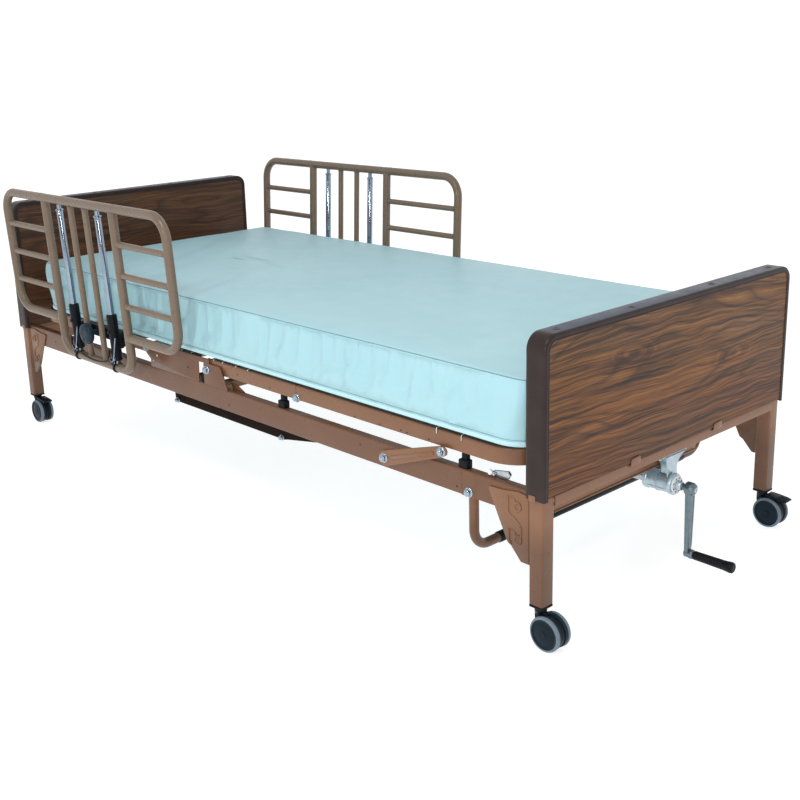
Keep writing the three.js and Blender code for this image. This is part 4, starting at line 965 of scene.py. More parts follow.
# latch under the foot of the deck
latch, latch_w = G(), G()
for s in (-1, 1):
    latch.add(prism(round_poly([(952, 333), (960, 347), (1000, 354), (1006, 347), (1000, 336), (975, 333)], 3, 4), "xz", s * 427 - 3, s * 427 + 3, 1.0))
    latch.add(tube([(962, s * 420, 340), (962, s * 434, 340)], 5.0, 16, round_end=0.8))
    latch_w.add(lathe([(0, 0), (6.2, 0), (6.2, 4.0), (5.4, 5.0), (0, 5.0)] if s > 0 else [(0, 0), (6.2, 0), (6.2, -4.0), (5.4, -5.0), (0, -5.0)], "y", (954, s * 431, 343), 20))
piece("deck_latches", latch, ZINC, "bed_frame")
piece("deck_latch_rollers", latch_w, NYLON, "bed_frame")

# ---------------------------------------------------------------- lift motor
mg = G()
mg.add(prism(round_poly([(-286, 303), (-274, 300.6), (-110, 300.6), (-98, 303), (-98, 332), (-110, 344.8), (-274, 344.8), (-286, 332)], 5, 4), "xz", -35.8, 35.8, 4.0, 4))
mg.add(lathe([(0, 30), (19.6, 30), (19.6, 66), (18.6, 69), (16.0, 72.4), (10, 73.8), (0, 73.8)], "y", (-190, 0, 322), 40))
for k in range(5):
    mg.add(lathe(rounded_ring(17.5, 19.9, 36 + k * 6.2, 38.4 + k * 6.2, 0.6), "y", (-190, 0, 322), 40))
for x in (-262, -122):
    mg.add(box(x - 3, x + 3, -36.4, 36.4, 305, 340, 1.2, 2))
piece("lift_motor_case", mg, BLACK, "bed_frame", ("lift_motor",), angle=36)
inlet = G()
inlet.add(prism(round_poly([(-248, 311), (-214, 311), (-214, 331), (-248, 331)], 4, 4), "xz", -38.6, -35.0, 1.0, 2))
inlet.add(lathe([(0, -41.5), (5.4, -41.5), (6.0, -40.6), (6.0, -38), (0, -38)], "y", (-231, 0, 321), 24))
piece("motor_inlet", inlet, BLACK_SOFT, "bed_frame")
mf = G()
for x, z in ((-276, 308), (-276, 337), (-108, 308), (-108, 337)):
    for s in (-1, 1):
        mf.add(lathe([(0, s * 35.2), (3.6, s * 35.2), (3.6, s * 36.8), (2.8, s * 37.5), (0, s * 37.5)], "y", (x, 0, z), 16))
piece("motor_screws", mf, ZINC, "bed_frame")

RZ = 317.5
for name, body, x0, x1, xs, d in (("back_push_rod", "back_rod", -290, -190, -288, -1), ("knee_push_rod", "knee_rod", -94, -148, -96, 1)):
    g = G()
    g.add(tube([(x0, 0, RZ), (x1, 0, RZ)], 9.3, 28, round_end=0.8))
    for y0, y1 in ((-12, -7.5), (7.5, 12)):
        far = xs + d * 34
        pl = round_poly([(xs, RZ - 9.8), (far, RZ - 9.8), (far, RZ + 9.8), (xs, RZ + 9.8)], [1, 7, 7, 1], 5)
        g.add(prism(pl, "xz", y0, y1, 0.8, 2))
    g.add(box(min(xs, xs + d * 4), max(xs, xs + d * 4), -12, 12, RZ - 9.8, RZ + 9.8, 0.9, 2))
    for s in (-1, 1):
        g.add(lathe([(0, s * 11.6), (5.5, s * 11.6), (5.5, s * 13.2), (4.6, s * 14.0), (0, s * 14.0)], "y", (xs + d * 19, 0, RZ), 20))
    piece(name, g, ZINC, body, ("back_lift_rod" if d < 0 else "knee_lift_rod",))

# ---------------------------------------------------------------------- deck
def deck_profile():
    """Rolled side member, outer face at 0, in (inward, z)."""
    return round_poly([(0, 367.1), (0, 404.9), (25.8, 404.9), (25.8, 402.0), (3.0, 402.0), (3.0, 367.1)], [1.4, 6.5, 1.2, 1.2, 4.0, 1.2], 6)


def u_frame(x0, x1, R=90.0, half=437.0, n=14):
    """Rolled member bent round three sides; opens at x0, closed at x1."""
    d = 1 if x1 > x0 else -1
    prof = deck_profile()
    st = []
    xs = np.linspace(x0, x1 - d * R, 5)
    for x in xs:
        st.append((float(x), -half, 0.0, 1.0))
    for k in range(1, n + 1):
        a = (math.pi / 2) * k / n
        st.append((x1 - d * R + d * R * SIN(a), -half + R - R * COS(a), -d * SIN(a), COS(a)))
    for y in np.linspace(-half + R, half - R, 6)[1:]:
        st.append((x1, float(y), -d * 1.0, 0.0))
    for k in range(1, n + 1):
        a = (math.pi / 2) * k / n
        st.append((x1 - d * R + d * R * COS(a), half - R + R * SIN(a), -d * COS(a), -SIN(a)))
    for x in xs[::-1][1:]:
        st.append((float(x), half, 0.0, -1.0))
    g = G()
    for x, y, nx, ny in st:
        g.v += [(x + nx * i, y + ny * i, z) for i, z in prof]
    k = len(prof)
    for i in range(len(st) - 1):
        g.f += [(i * k + q, i * k + (q + 1) % k, (i + 1) * k + (q + 1) % k, (i + 1) * k + q) for q in range(k)]
    g.f += [tuple(range(k)), tuple((len(st) - 1) * k + q for q in range(k))]
    return g


def side_member(x0, x1):
    prof = deck_profile()
    g = G()
    for x in (x0, x0 + 0.8, x1 - 0.8, x1):
        g.v += [(x, 437.0 - i, z) for i, z in prof]
    k = len(prof)
    for i in range(3):
        g.f += [(i * k + q, i * k + (q + 1) % k, (i + 1) * k + (q + 1) % k, (i + 1) * k + q) for q in range(k)]
    g.f += [tuple(range(k)), tuple(3 * k + q for q in range(k))]
    return g


def cross_tube(x, z, r):
    return tube([(x, -435.2, z), (x, 435.2, z)], r, 24, round_end=0.6)


def lever(px, pz, r, deg):
    a = RAD(deg)
    ux, uz, nx, nz = SIN(a), -COS(a), COS(a), SIN(a)
    q = lambda al, ac: (px + ux * al + nx * ac, pz + uz * al + nz * ac)
    poly = round_poly([q(0, -9), q(0, 9), q(r, 5.4), q(r + 7, 3.6), q(r + 7, -3.6), q(r, -5.4)], [1, 1, 1, 2.5, 2.5, 1], 4)
    return prism(poly, "xz", -5, 5, 1.2, 2)


back = G()
back.add(u_frame(-372, -1000))
back.add(both(prism(round_poly([(-374, 367.2), (-374, 404.8), (-352, 404.8), (-340, 398), (-338, 385), (-342, 372), (-352, 367.2)], [1, 2, 3, 5, 6, 5, 3], 4), "xz", 434.2, 437.0, 0.8, 2)))
back.add(cross_tube(-350, 385, 10.9))
back.add(cross_tube(-700, 386, 9.9))
back.add(lever(-350, 385, 80, 32.5))
for s in (-1, 1):
    back.add(box(-712, -688, s * 425 - 9, s * 425 + 9, 384, 402.6, 1.5, 2))
piece("back_deck_frame", back, BROWN, "back_section", ("back_frame",))

thigh = G()
# the lower corner at the knee is cut back so the sections can fold
sm = side_member(-36, 317.0)
thigh.add(both(sm))
thigh.add(both(box(316.4, 321.2, 434.0, 437.0, 374.0, 404.6, 0.8, 2)))
thigh.add(both(box(316.4, 321.2, 411.2, 436.0, 402.0, 404.9, 0.8, 2)))
thigh.add(both(prism(round_poly([(-55, 367.1), (-34, 367.1), (-34, 404.8), (-55, 404.8)], [7, 1, 1, 8], 6), "xz", 434.2, 437.0, 0.8, 2)))
thigh.add(cross_tube(-52, 373, 9.9))
thigh.add(cross_tube(296, 386, 9.9))
thigh.add(lever(-52, 373, (373 - RZ) / COS(RAD(17.5)), -17.5))
piece("thigh_deck_frame", thigh, BROWN, "thigh_section", ("thigh_frame",))

calf = G()
calf.add(u_frame(322.6, 1047))
calf.add(both(prism(round_poly([(314, 364), (382, 368), (382, 396), (336, 393), (314, 381)], [6, 2, 2, 4, 6], 5), "xz", 430.6, 433.4, 0.7, 2)))
for s in (-1, 1):
    calf.add(box(352, 380, min(s * 431, s * 436), max(s * 431, s * 436), 374, 390, 0.6))
calf.add(cross_tube(366, 386, 9.9))
calf.add(cross_tube(829, 386, 9.9))
piece("calf_deck_frame", calf, BROWN, "calf_section", ("calf_frame",))
calf_bolts, knee_bolts = G(), G()
for s in (-1, 1):
    knee_bolts.add(carriage_bolt((324, s * 437.4, 372), "y", s, 8.5, 11.0))
piece("knee_pivot_bolts", knee_bolts, BOLT, "thigh_section", angle=45)
# the deck's holes are dark discs painted with the shade inside them
dh = {"back_section": [(-560, 386), (-860, 386)], "thigh_section": [(217, 376), (80, 384)], "calf_section": [(538, 372), (623, 372), (692, 374), (711, 373), (780, 374)]}
for body, lst in dh.items():
    g = G()
    for s in (-1, 1):
        for x, z in lst:
            g.add(lathe([(0, s * 437.15), (2.2, s * 437.15), (2.2, s * 436.2), (0, s * 436.2)], "y", (x, 0, z), 16))
    piece(f"deck_holes_{body}", g, HOLE_SHADE, body)

# link arms that carry the calf section
links, link_bolts = G(), G()
a = math.atan2(59, 183)
ux, uz = COS(a), SIN(a)
D = math.hypot(183, 59)
q = lambda al, ac: (646 + ux * al - uz * ac, 301 + uz * al + ux * ac)
pl = round_poly([q(-12, -15), q(4, -20), q(D - 10, -13), q(D + 12, -9), q(D + 17, 0), q(D + 12, 9), q(D, 13), q(0, 17), q(-12, 13), q(-17, 0)], [6, 5, 5, 5, 7, 6, 6, 6, 5, 8], 5)
lk = prism(pl, "xz", 444.6, 449.6, 2.2, 3)
# pressed rib along the middle of the arm
rib = [q(22, -1.5), q(D - 24, -0.5)]
lk.add(tube([(rib[0][0], 447.4, rib[0][1]), (rib[1][0], 447.4, rib[1][1])], 5.4, 14, round_end=3.0))
for side, s in (("near", -1), ("far", 1)):
    piece(f"calf_link_arm_{side}", lk.my() if s < 0 else lk, BROWN, "calf_links", (f"calf_link_{side}",))
    link_bolts.add(carriage_bolt((646, s * 449.6, 301), "y", s, 9.0, 12.0))
    link_bolts.add(carriage_bolt((829, s * 449.6, 360), "y", s, 9.0, 12.0))
piece("calf_link_bolts", link_bolts, BOLT, "calf_links", angle=45)

# bail
bail = tube(fillet([(902, -427, 303), (902, -427, 154), (902, 427, 154), (902, 427, 303)], 42, 12), 10.9, 28, round_end=1.0)
for s in (-1, 1):
    bail.add(lathe([(0, s * -12), (7, s * -12), (7, s * 12.4), (0, s * 12.4)], "y", (902, s * 427, 286), 24))
piece("foot_bail_tube", bail, BROWN, "bail", ("foot_bail",))
piece("foot_bail_grip", lathe(rounded_ring(10.0, 12.4, -352, 352, 1.4), "y", (902, 0, 154), 32), GRIP, "bail")

# ------------------------------------------------------- link-spring mattings
def spring(p0, p1, r=4.2, wire=1.0, turns=9, n=10):
    d = unit(vsub(p1, p0))
    ref = (0, 0, 1)
    s = unit(cross(d, ref))
    u = cross(s, d)
    L = vlen(vsub(p1, p0))
    pts = [p0]
    hook = 0.16
    for k in range(turns * n + 1):
        t = k / (turns * n)
        a = 2 * math.pi * turns * t
        o = vadd(p0, vmul(d, L * (hook + (1 - 2 * hook) * t)))
        pts.append(vadd(o, vadd(vmul(s, r * COS(a)), vmul(u, r * SIN(a)))))
    pts.append(p1)
    return sweep(pts, circle(wire, 5))


def matting(x0, x1, frame_x0, frame_x1, side_hooks=True):
    """Wire mat between x0 and x1, hung from the section's ends and sides by coil springs."""
    g, sp = G(), G()
    z = 403.2
    y_edge = 368.0
    ny = 14
    nx = max(3, round((x1 - x0) / 62))
    ys = [-y_edge + 2 * y_edge * i / ny for i in range(ny + 1)]
    xs = [x0 + (x1 - x0) * i / nx for i in range(nx + 1)]
    for i, y in enumerate(ys):
        pts = []
        for j, x in enumerate(xs):
            if j:
                pts.append((x - (x1 - x0) / nx * 0.5, y + (2.2 if (i + j) % 2 else -2.2), z - 0.6))
            pts.append((x, y, z))
        g.add(tube(pts, 1.25, 6))
    for j, x in enumerate(xs):
        r = 1.9 if j in (0, nx) else 1.15
        g.add(tube([(x, -y_edge - 3, z - (0 if j in (0, nx) else 0.4)), (x, y_edge + 3, z - (0 if j in (0, nx) else 0.4))], r, 6))
    for s in (-1, 1):
        g.add(tube([(x0, s * (y_edge + 1), z), (x1, s * (y_edge + 1), z)], 1.7, 6))
    for i, y in enumerate(ys):
        if i % 2:
            continue
        sp.add(spring((x0, y, z), (frame_x0, y, 402.6), turns=7))
        sp.add(spring((x1, y, z), (frame_x1, y, 402.6), turns=7))
    if side_hooks:
        m = max(2, round((x1 - x0) / 110))
        for k in range(m + 1):
            x = x0 + 12 + (x1 - x0 - 24) * k / m
            for s in (-1, 1):
                sp.add(spring((x, s * (y_edge + 1), z), (x, s * 411.5, 403.0), r=3.4, wire=0.95, turns=7))
    return g, sp


for name, body, node_name, a0, a1, f0, f1 in (("back", "back_section", "back_springs", -924, -396, -972, -372), ("seat", "bed_frame", "seat_springs", -306, -104, -320, -93),
                                              ("thigh", "thigh_section", "thigh_springs", 0, 276, -24, 296), ("calf", "calf_section", "calf_springs", 384, 972, 358, 1019)):
    g, sp = matting(a0, a1, f0, f1)
    piece(f"{name}_mat_wires", g, WIRE, body, (node_name,), angle=60)
    piece(f"{name}_mat_coils", sp, WIRE, body, angle=60)
# small hooks that show along the deck edge under the mattress
hooks = {"calf_section": [805, 878], "bed_frame": [-173, -125, -75], "thigh_section": [-21, 19, 77, 128], "back_section": [-420, -480, -540, -600, -660, -720, -780]}
for body, xs in hooks.items():
    g = G()
    for s in (-1, 1):
        for x in xs:
            low = 393.5 if body == "calf_section" else 403.4
            g.add(tube(fillet([(x, s * 412, 404.2), (x, s * 431, 406.6), (x, s * 438.6, 405.4), (x, s * 438.8, low)], 2.4 if low < 400 else 0.8, 4), 1.1 if low < 400 else 1.5, 8, round_end=0.6))
    piece(f"edge_hooks_{body}", g, BRIGHT, body)

# ---------------------------------------------------------------- side rails
SRY, SRZ = 497.0, 345.0
SRX = {-1: -529.0, 1: -552.0}
SR_ENDS = {-1: (449.0, 449.0), 1: (460.0, 515.0)}
LEAN = RAD(3)


def leaned(g, s):
    """Local (x along, y outboard, z) of a side rail into the working frame."""
    def f(p):
        x, o, z = p[0], p[1], p[2] - SRZ
        y = s * (SRY + o * COS(LEAN) + z * SIN(LEAN))
        return (SRX[s] + x, y, SRZ + z * COS(LEAN) - o * SIN(LEAN))
    return g.map(f, flip=s < 0)


T = 190.0
SR_BOTTOM = 321.0


def rail_frame(s):
    """Two telescoping end loops on a welded middle section."""
    HH, HF = SR_ENDS[s]
    g = G()
    g.add(tube(fillet([(-T, 0, 423), (-HH, 0, 423), (-HH, 0, 788), (HF, 0, 788), (HF, 0, 423), (T, 0, 423)], 62, 12), 12.7, 26))
    g.add(tube(fillet([(-T, 0, 788), (-T, 0, SR_BOTTOM), (T, 0, SR_BOTTOM), (T, 0, 788)], 50, 12), 12.7, 26))
    # swaged joints where the end loops slide into the middle
    for x in (-T - 16, T + 16):
        g.add(lathe([(12.0, -1.0), (13.2, -0.4), (13.4, 0.6), (12.9, 1.4), (12.0, 1.6)], "x", (x, 0, 788), 26))
        g.add(lathe([(12.0, -1.0), (13.2, -0.4), (13.4, 0.6), (12.9, 1.4), (12.0, 1.6)], "x", (x, 0, 423), 26))
    for z in (690, 603, 515):
        for d, H in ((-1, HH), (1, HF)):
            g.add(tube([(d * H, 0, z), (d * T, 0, z)], 8.8, 20))
            for xx in (d * (T + 13.0), d * (H - 13.0)):
                g.add(lathe([(8.3, -1.6), (10.2, -0.6), (10.4, 0.4), (9.4, 1.6), (8.3, 1.8)], "x", (xx, 0, z), 20))
    for d in (-1, 1):
        g.add(tube([(d * 41, 0, SR_BOTTOM), (d * 41, 0, 788)], 8.8, 20))
        for z, k in ((SR_BOTTOM + 13, 1), (788 - 13, -1)):
            g.add(lathe([(8.3, -1.6), (10.2, -0.6), (10.4, 0.4), (9.4, 1.6), (8.3, 1.8)], "z", (d * 41, 0, z), 20))
    return g


plugs, posts, mounts, knobs, sleeves = G(), G(), G(), G(), G()
for xx in (-T, -108, 108, T):
    plugs.add(lathe([(0, -2), (4.6, -2), (5.0, 0.6), (4.4, 1.3), (2.4, 1.8), (0, 1.9)], "z", (xx, 0, 797.2), 20))
for s in (-1, 1):
    px = s * 108.0
    posts.add(tube([(px, 0, SR_BOTTOM + 14), (px, 0, 762)], 9.2, 26, round_end=1.0))
    posts.add(tube([(px, 0, 758), (px, 0, 775.5)], 6.4, 20))
    posts.add(lathe(rounded_ring(5.0, 11.6, 757.5, 761.0, 1.0), "z", (px, 0, 0), 28))
    # long moulded sleeve with collars and a clamp
    sleeves.add(lathe([(10.6, 344.5), (14.4, 344.5), (15.4, 346), (15.4, 372), (14.2, 375), (13.8, 378), (13.8, 424), (14.4, 428), (15.2, 432), (15.0, 474), (14.2, 478), (12.8, 478.8), (10.6, 478.8)], "z", (px, 0, 0), 32))
    sleeves.add(box(px - 12, px + 12, -22, 2, 376, 420, 3.0, 3))
    sleeves.add(box(px - 8.8, px + 8.8, -59.0, -18, 378.4, 401.6, 2.6, 3))
    sleeves.add(lathe([(0, 13), (4.6, 13), (4.6, 17.5), (3.8, 18.4), (0, 18.4)], "y", (px, 0, 430), 20))
mounts.add(box(-115, 115, -33.6, -14, 390.4, 421.6, 3.2, 3))
mounts.add(prism(round_poly([(-94, 394), (94, 394), (94, 418), (60, 418), (44, 426), (-58, 426), (-72, 418), (-94, 418)], 4, 4), "xz", -14.6, -11.4, 1.0, 2))
KX, KZ = -10.0, 408.0
knob_p = [(0, 13.2), (25.0, 13.2), (28.6, 14.2), (30.2, 16.0), (30.9, 19.0), (30.9, 25.0), (30.0, 28.2), (27.6, 30.8), (23.0, 32.3), (18.0, 32.9), (8.0, 32.9), (0, 32.9)]
knob = lathe(knob_p, "y", (KX, 0, KZ), 56)
for k in range(5):
    t = 2 * math.pi * (k + 0.5) / 5
    knob.add(tube([(KX + 9 * COS(t), 32.6, KZ + 9 * SIN(t)), (KX + 24 * COS(t), 32.4, KZ + 24 * SIN(t))], 1.7, 10, round_end=1.2))
knob.add(tube([(KX, -12.2, KZ), (KX, 15, KZ)], 6.9, 24, round_end=0.8))
# lock plates and wire pins at the sleeves
pins = G()
for s in (-1, 1):
    px = s * 108.0
    pins.add(tube(fillet([(px + 11, 17.4, 352), (px + 17, 17.0, 372), (px + 24, 16.0, 398), (px + 30, 14.5, 418)], 6, 4), 1.5, 10, round_end=1.0))
    pins.add(lathe([(0, 14), (4.4, 14), (4.4, 17.6), (3.4, 19.0), (0, 19.4)], "y", (px + 12, 0, 352), 20))
    pins.add(tube(fillet([(px - 9, 15.5, 366), (px - 11, 18, 352), (px - 3, 19, 341), (px + 6, 18, 345), (px + 8, 15.5, 360)], 5, 5), 1.4, 10, round_end=0.8))
    pins.add(prism(round_poly([(px - 12, 336), (px + 8, 336), (px + 10, 344), (px - 10, 346)], 2, 3), "xz", 14.6, 16.4, 0.6, 2))
loops = G()
for s in (-1, 1):
    px = s * 108.0
    ring_pts = []
    for k in range(28):
        t = 2 * math.pi * k / 28
        ring_pts.append((px - 4 + 2.5 * SIN(t), 14.6 * COS(t), SR_BOTTOM + 14.6 * SIN(t)))
    loops.add(sweep(ring_pts, round_poly([(-1.5, -4.2), (1.5, -4.2), (1.5, 4.2), (-1.5, 4.2)], 1.2, 3), up=(1, 0, 0), closed=True))
    loops.add(tube(fillet([(px - 8, 13.0, SR_BOTTOM + 8), (px - 12, 17.0, 352), (px - 9, 17.2, 376)], 8, 5), 2.6, 10, round_end=1.4))
    loops.add(prism(round_poly([(px - 7, 332), (px + 7, 332), (px + 9, 350), (px - 9, 350)], 3, 3), "xz", 13.6, 16.6, 1.0, 2))
# slack release cable between the two latches
cable = []
for k in range(25):
    w = k / 24
    cable.append((-102 + 204 * w, 15.6 + 3.4 * SIN(math.pi * w), 348 - 2 * w - 17.5 * SIN(math.pi * w) ** 0.8))
for side, s in (("near", -1), ("far", 1)):
    piece(f"side_rail_tubes_{side}", leaned(rail_frame(s), s), TAUPE, f"{side}_rail", (f"side_rail_{side}",), angle=50)
    piece(f"side_rail_plugs_{side}", leaned(plugs, s), BLACK, f"{side}_rail")
    piece(f"side_rail_posts_{side}", leaned(posts, s), CHROME_DARKENED_REFLECTION, f"{side}_rail", (f"rail_post_{side}_a", f"rail_post_{side}_b"), angle=45)
    piece(f"side_rail_loops_{side}", leaned(loops, s), BLACK_SOFT, f"{side}_rail", angle=45)
    run = leaned(G(cable, []), s).v
    cord_o = piece(f"release_cable_{side}", tube(run, 2.1, 12), GRIP, f"{side}_rail", angle=45)
    piece(f"side_rail_sleeves_{side}", leaned(sleeves, s), BLACK, "back_section", (f"rail_mount_{side}",))
    piece(f"side_rail_mount_bar_{side}", leaned(mounts, s), BLACK, "back_section")
    piece(f"side_rail_locks_{side}", leaned(pins, s), CHROME_DARKENED_REFLECTION, "back_section")
    piece(f"side_rail_knob_{side}", leaned(knob, s), KNOB, f"{side}_knob", (f"rail_knob_{side}",), angle=45)

# ------------------------------------------------------------------ mattress
MZ0, MZ1, MY, MXH, MXF = 413.0, 563.0, 444.0, -946.0, 1062.0
CUTS = (-200.0, 136.0)
N_ARC, CX, HALF_X = 18, (MXH + MXF) / 2, (MXF - MXH) / 2


def corner_radius(z):
    """The sewn corners are tighter at the top seam than at the piping."""
    w = max(0.0, min(1.0, (z - 12.0) / 118.0))
    return 75.0 - 41.0 * w * w * (3 - 2 * w)


def outline(R):
    """Rounded plan outline (x, y, outward x, outward y, distance), the same count of points for any corner radius."""
    pts = []
    n_long, n_short = 208, 88
    h = math.pi / 2
    x1, y1 = HALF_X - R, MY - R
    sides = (((-x1, -MY), (x1, -MY), n_long, (x1, -y1), -h), ((HALF_X, -y1), (HALF_X, y1), n_short, (x1, y1), 0.0),
             ((x1, MY), (-x1, MY), n_long, (-x1, y1), h), ((-HALF_X, y1), (-HALF_X, -y1), n_short, (-x1, -y1), 2 * h))
    for a, b, n, c, a0 in sides:
        d = unit((b[0] - a[0], b[1] - a[1], 0))
        for k in range(n):
            pts.append((CX + a[0] + (b[0] - a[0]) * k / n, a[1] + (b[1] - a[1]) * k / n, d[1], -d[0]))
        for k in range(N_ARC):
            t = a0 + h * k / N_ARC
            pts.append((CX + c[0] + R * COS(t), c[1] + R * SIN(t), COS(t), SIN(t)))
    out, s_ = [], 0.0
    for q, p in enumerate(pts):
        out.append((*p, s_))
        n_ = pts[(q + 1) % len(pts)]
        s_ += math.hypot(n_[0] - p[0], n_[1] - p[1])
    return out


def inside(x, y, R=34.0):
    qx, qy = abs(x - CX) - (HALF_X - R), abs(y) - (MY - R)
    if qx > 0 and qy > 0:
        return R - math.hypot(qx, qy)
    return R - max(qx, qy)


def calm(x):
    """Folds fade out where the cover is divided."""
    v = 1.0
    for c in CUTS:
        v = min(v, max(0.0, min(1.0, (abs(x - c) - 5) / 60.0)))
    return v * v * (3 - 2 * v)


def crease(x, c, width):
    """A sharp-bottomed valley at c."""
    d = abs(x - c) / width
    return -1.0 / (1.0 + d * d) if d < 6 else 0.0


def top_height(x, y):
    edge = min(1.0, max(0.0, inside(x, y) / 150.0))
    edge = edge * (2 - edge)
    w = 3.4 * noise.noise(Vector((x / 300.0 + y / 420.0, y / 230.0, 0.5))) + 0.8 * noise.noise(Vector((x / 95.0, y / 75.0, 4.5)))
    # long shallow diagonal drifts of slack vinyl, mostly toward the head
    u = x * 0.80 + y * 0.60
    head = max(0.0, min(1.0, (-x + 150.0) / 500.0))
    for c, a, wd in ((-760.0, 4.2, 30.0), (-590.0, 5.4, 38.0), (-395.0, 4.6, 34.0), (-215.0, 3.4, 42.0)):
        w += head * a * crease(u + 26.0 * noise.noise(Vector((y / 240.0, c, 0.0))), c, wd)
    return MZ1 - 3.0 + 3.2 * edge + w * calm(x) * edge


FOLDS = [(-905, 26, 5.0, 17, 0.30), (-848, -14, 3.4, 11, 0.2), (-795, 30, 5.6, 20, 0.34), (-728, 12, 3.2, 12, 0.2), (-676, 38, 6.0, 18, 0.36), (-612, 22, 4.2, 14, 0.30), (-560, 44, 6.4, 20, 0.40),
         (-505, 30, 4.6, 12, 0.30), (-452, 46, 6.2, 18, 0.42), (-398, 24, 4.0, 13, 0.30), (-340, 34, 5.0, 20, 0.36), (-283, 18, 3.6, 12, 0.24), (-98, 16, 3.4, 14, 0.2), (-46, 26, 4.6, 19, 0.30), (22, 10, 2.8, 12, 0.16),
         (66, 20, 3.6, 18, 0.22), (214, 14, 3.4, 15, 0.16), (262, 22, 4.4, 20, 0.22), (331, 8, 2.8, 12, 0.14), (384, 18, 4.0, 20, 0.2), (455, 6, 3.0, 14, 0.12), (506, 16, 4.2, 19, 0.18), (585, 4, 2.6, 13, 0.1),
         (640, 12, 4.0, 21, 0.14), (722, -4, 2.8, 14, 0.1), (784, 8, 3.6, 22, 0.12), (858, -6, 3.0, 15, 0.1), (921, 4, 3.2, 18, 0.1)]


def side_fold(x, y, s_, z):
    """Slack of the boxed side: broad pillows between slanting creases."""
    rel = z / 150.0
    w = 1.6 * noise.noise(Vector((s_ / 70.0 + rel * 0.8, 3.1, rel * 0.7))) + 0.8 * noise.noise(Vector((s_ / 26.0 + rel * 1.4, 5.7, 2.2)))
    if abs(y) > 380:
        shift = 0.0 if y < 0 else 31.0
        for c, slant, depth, width, lean in FOLDS:
            c2 = (c if y < 0 else -c * 0.93 + 60) + shift
            line_ = c2 + slant * (0.5 - rel) * 1.6 + 5.0 * noise.noise(Vector((rel * 2.2, c, 1.0)))
            d = abs(x - line_)
            if d < width * 6:
                # each crease is deepest at its own height
                peak = 0.35 + 0.5 * (0.5 + 0.5 * noise.noise(Vector((c * 0.37, 2.0, 0.0))))
                env = math.exp(-((rel - peak) / 0.42) ** 2)
                w += env * depth * crease(x, line_, width * (0.55 + 0.45 * rel))
    elif abs(x - CX) > 900:
        for c in range(-340, 400, 85):
            line_ = c + 22 * noise.noise(Vector((c * 0.11, rel, 3.0)))
            w += 3.0 * math.exp(-((rel - 0.5) / 0.4) ** 2) * crease(y, line_, 16.0)
    return w


ROWS = [(0.6, 16.0), (0.0, 10.0), (0.3, 6.0), (1.6, 2.8), (4.0, 1.6), (12, 1.2), (14.5, 1.9), (17, 1.2), (21, 0.8), (28, 0.5), (36, 0.4), (45, 0.3), (54, 0.3), (63, 0.3), (72, 0.3),
        (81, 0.3), (90, 0.4), (99, 0.6), (108, 0.9), (117, 1.5), (125, 2.4), (132, 3.6), (138, 5.2), (142.5, 7.2), (145.2, 9.4), (146.2, 11.0), (147.6, 13.0), (148.6, 17.0), (149.0, 22.0)]


SETTLED = {}


def surface_row(z, inset):
    belly = max(0.0, math.sin(math.pi * max(0.0, min(1.0, (z - 12) / 128.0)))) ** 0.8
    ring = []
    for q, (x, y, nx, ny, s_) in enumerate(outline(corner_radius(z))):
        if z in SETTLED:
            w, (px, py, pz), d0 = calm(x), SETTLED[z][q], SETTLED["inset"][z] - inset
            # the folds die away toward the four sewn corners, and are weaker across the two ends
            edge_x, edge_y = HALF_X - abs(x - CX), MY - abs(y)
            w *= max(0.12, min(1.0, (edge_x - 45.0) / 120.0)) if edge_y < edge_x else 0.45 * max(0.1, min(1.0, (edge_y - 45.0) / 120.0))
            flat_out = -inset + 1.6 * belly
            # kept within the sewn outline: a little proud, a good deal slack
            along_n = (px - x) * nx + (py - y) * ny
            along_n = max(-17.0, min(6.5, 1.0 + 1.7 * (along_n - 1.0)))
            side_n = max(-9.0, min(9.0, (px - x) * -ny + (py - y) * nx))
            out = flat_out + (along_n + d0 - flat_out) * w
            ring.append((x + nx * out - ny * side_n * w, y + ny * out + nx * side_n * w, MZ0 + z + max(-6.0, min(6.0, pz - MZ0 - z)) * w))
            continue
        out = -inset + (1.6 + max(-13.0, 1.55 * side_fold(x, y, s_, z) * calm(x))) * belly
        zz = MZ0 + z
        if z > 120:
            w = (z - 120) / 29.0
            zz += (top_height(x - nx * 22, y - ny * 22) - (MZ0 + 149.0)) * w * w
        ring.append((x + nx * out, y + ny * out, zz))
    return ring


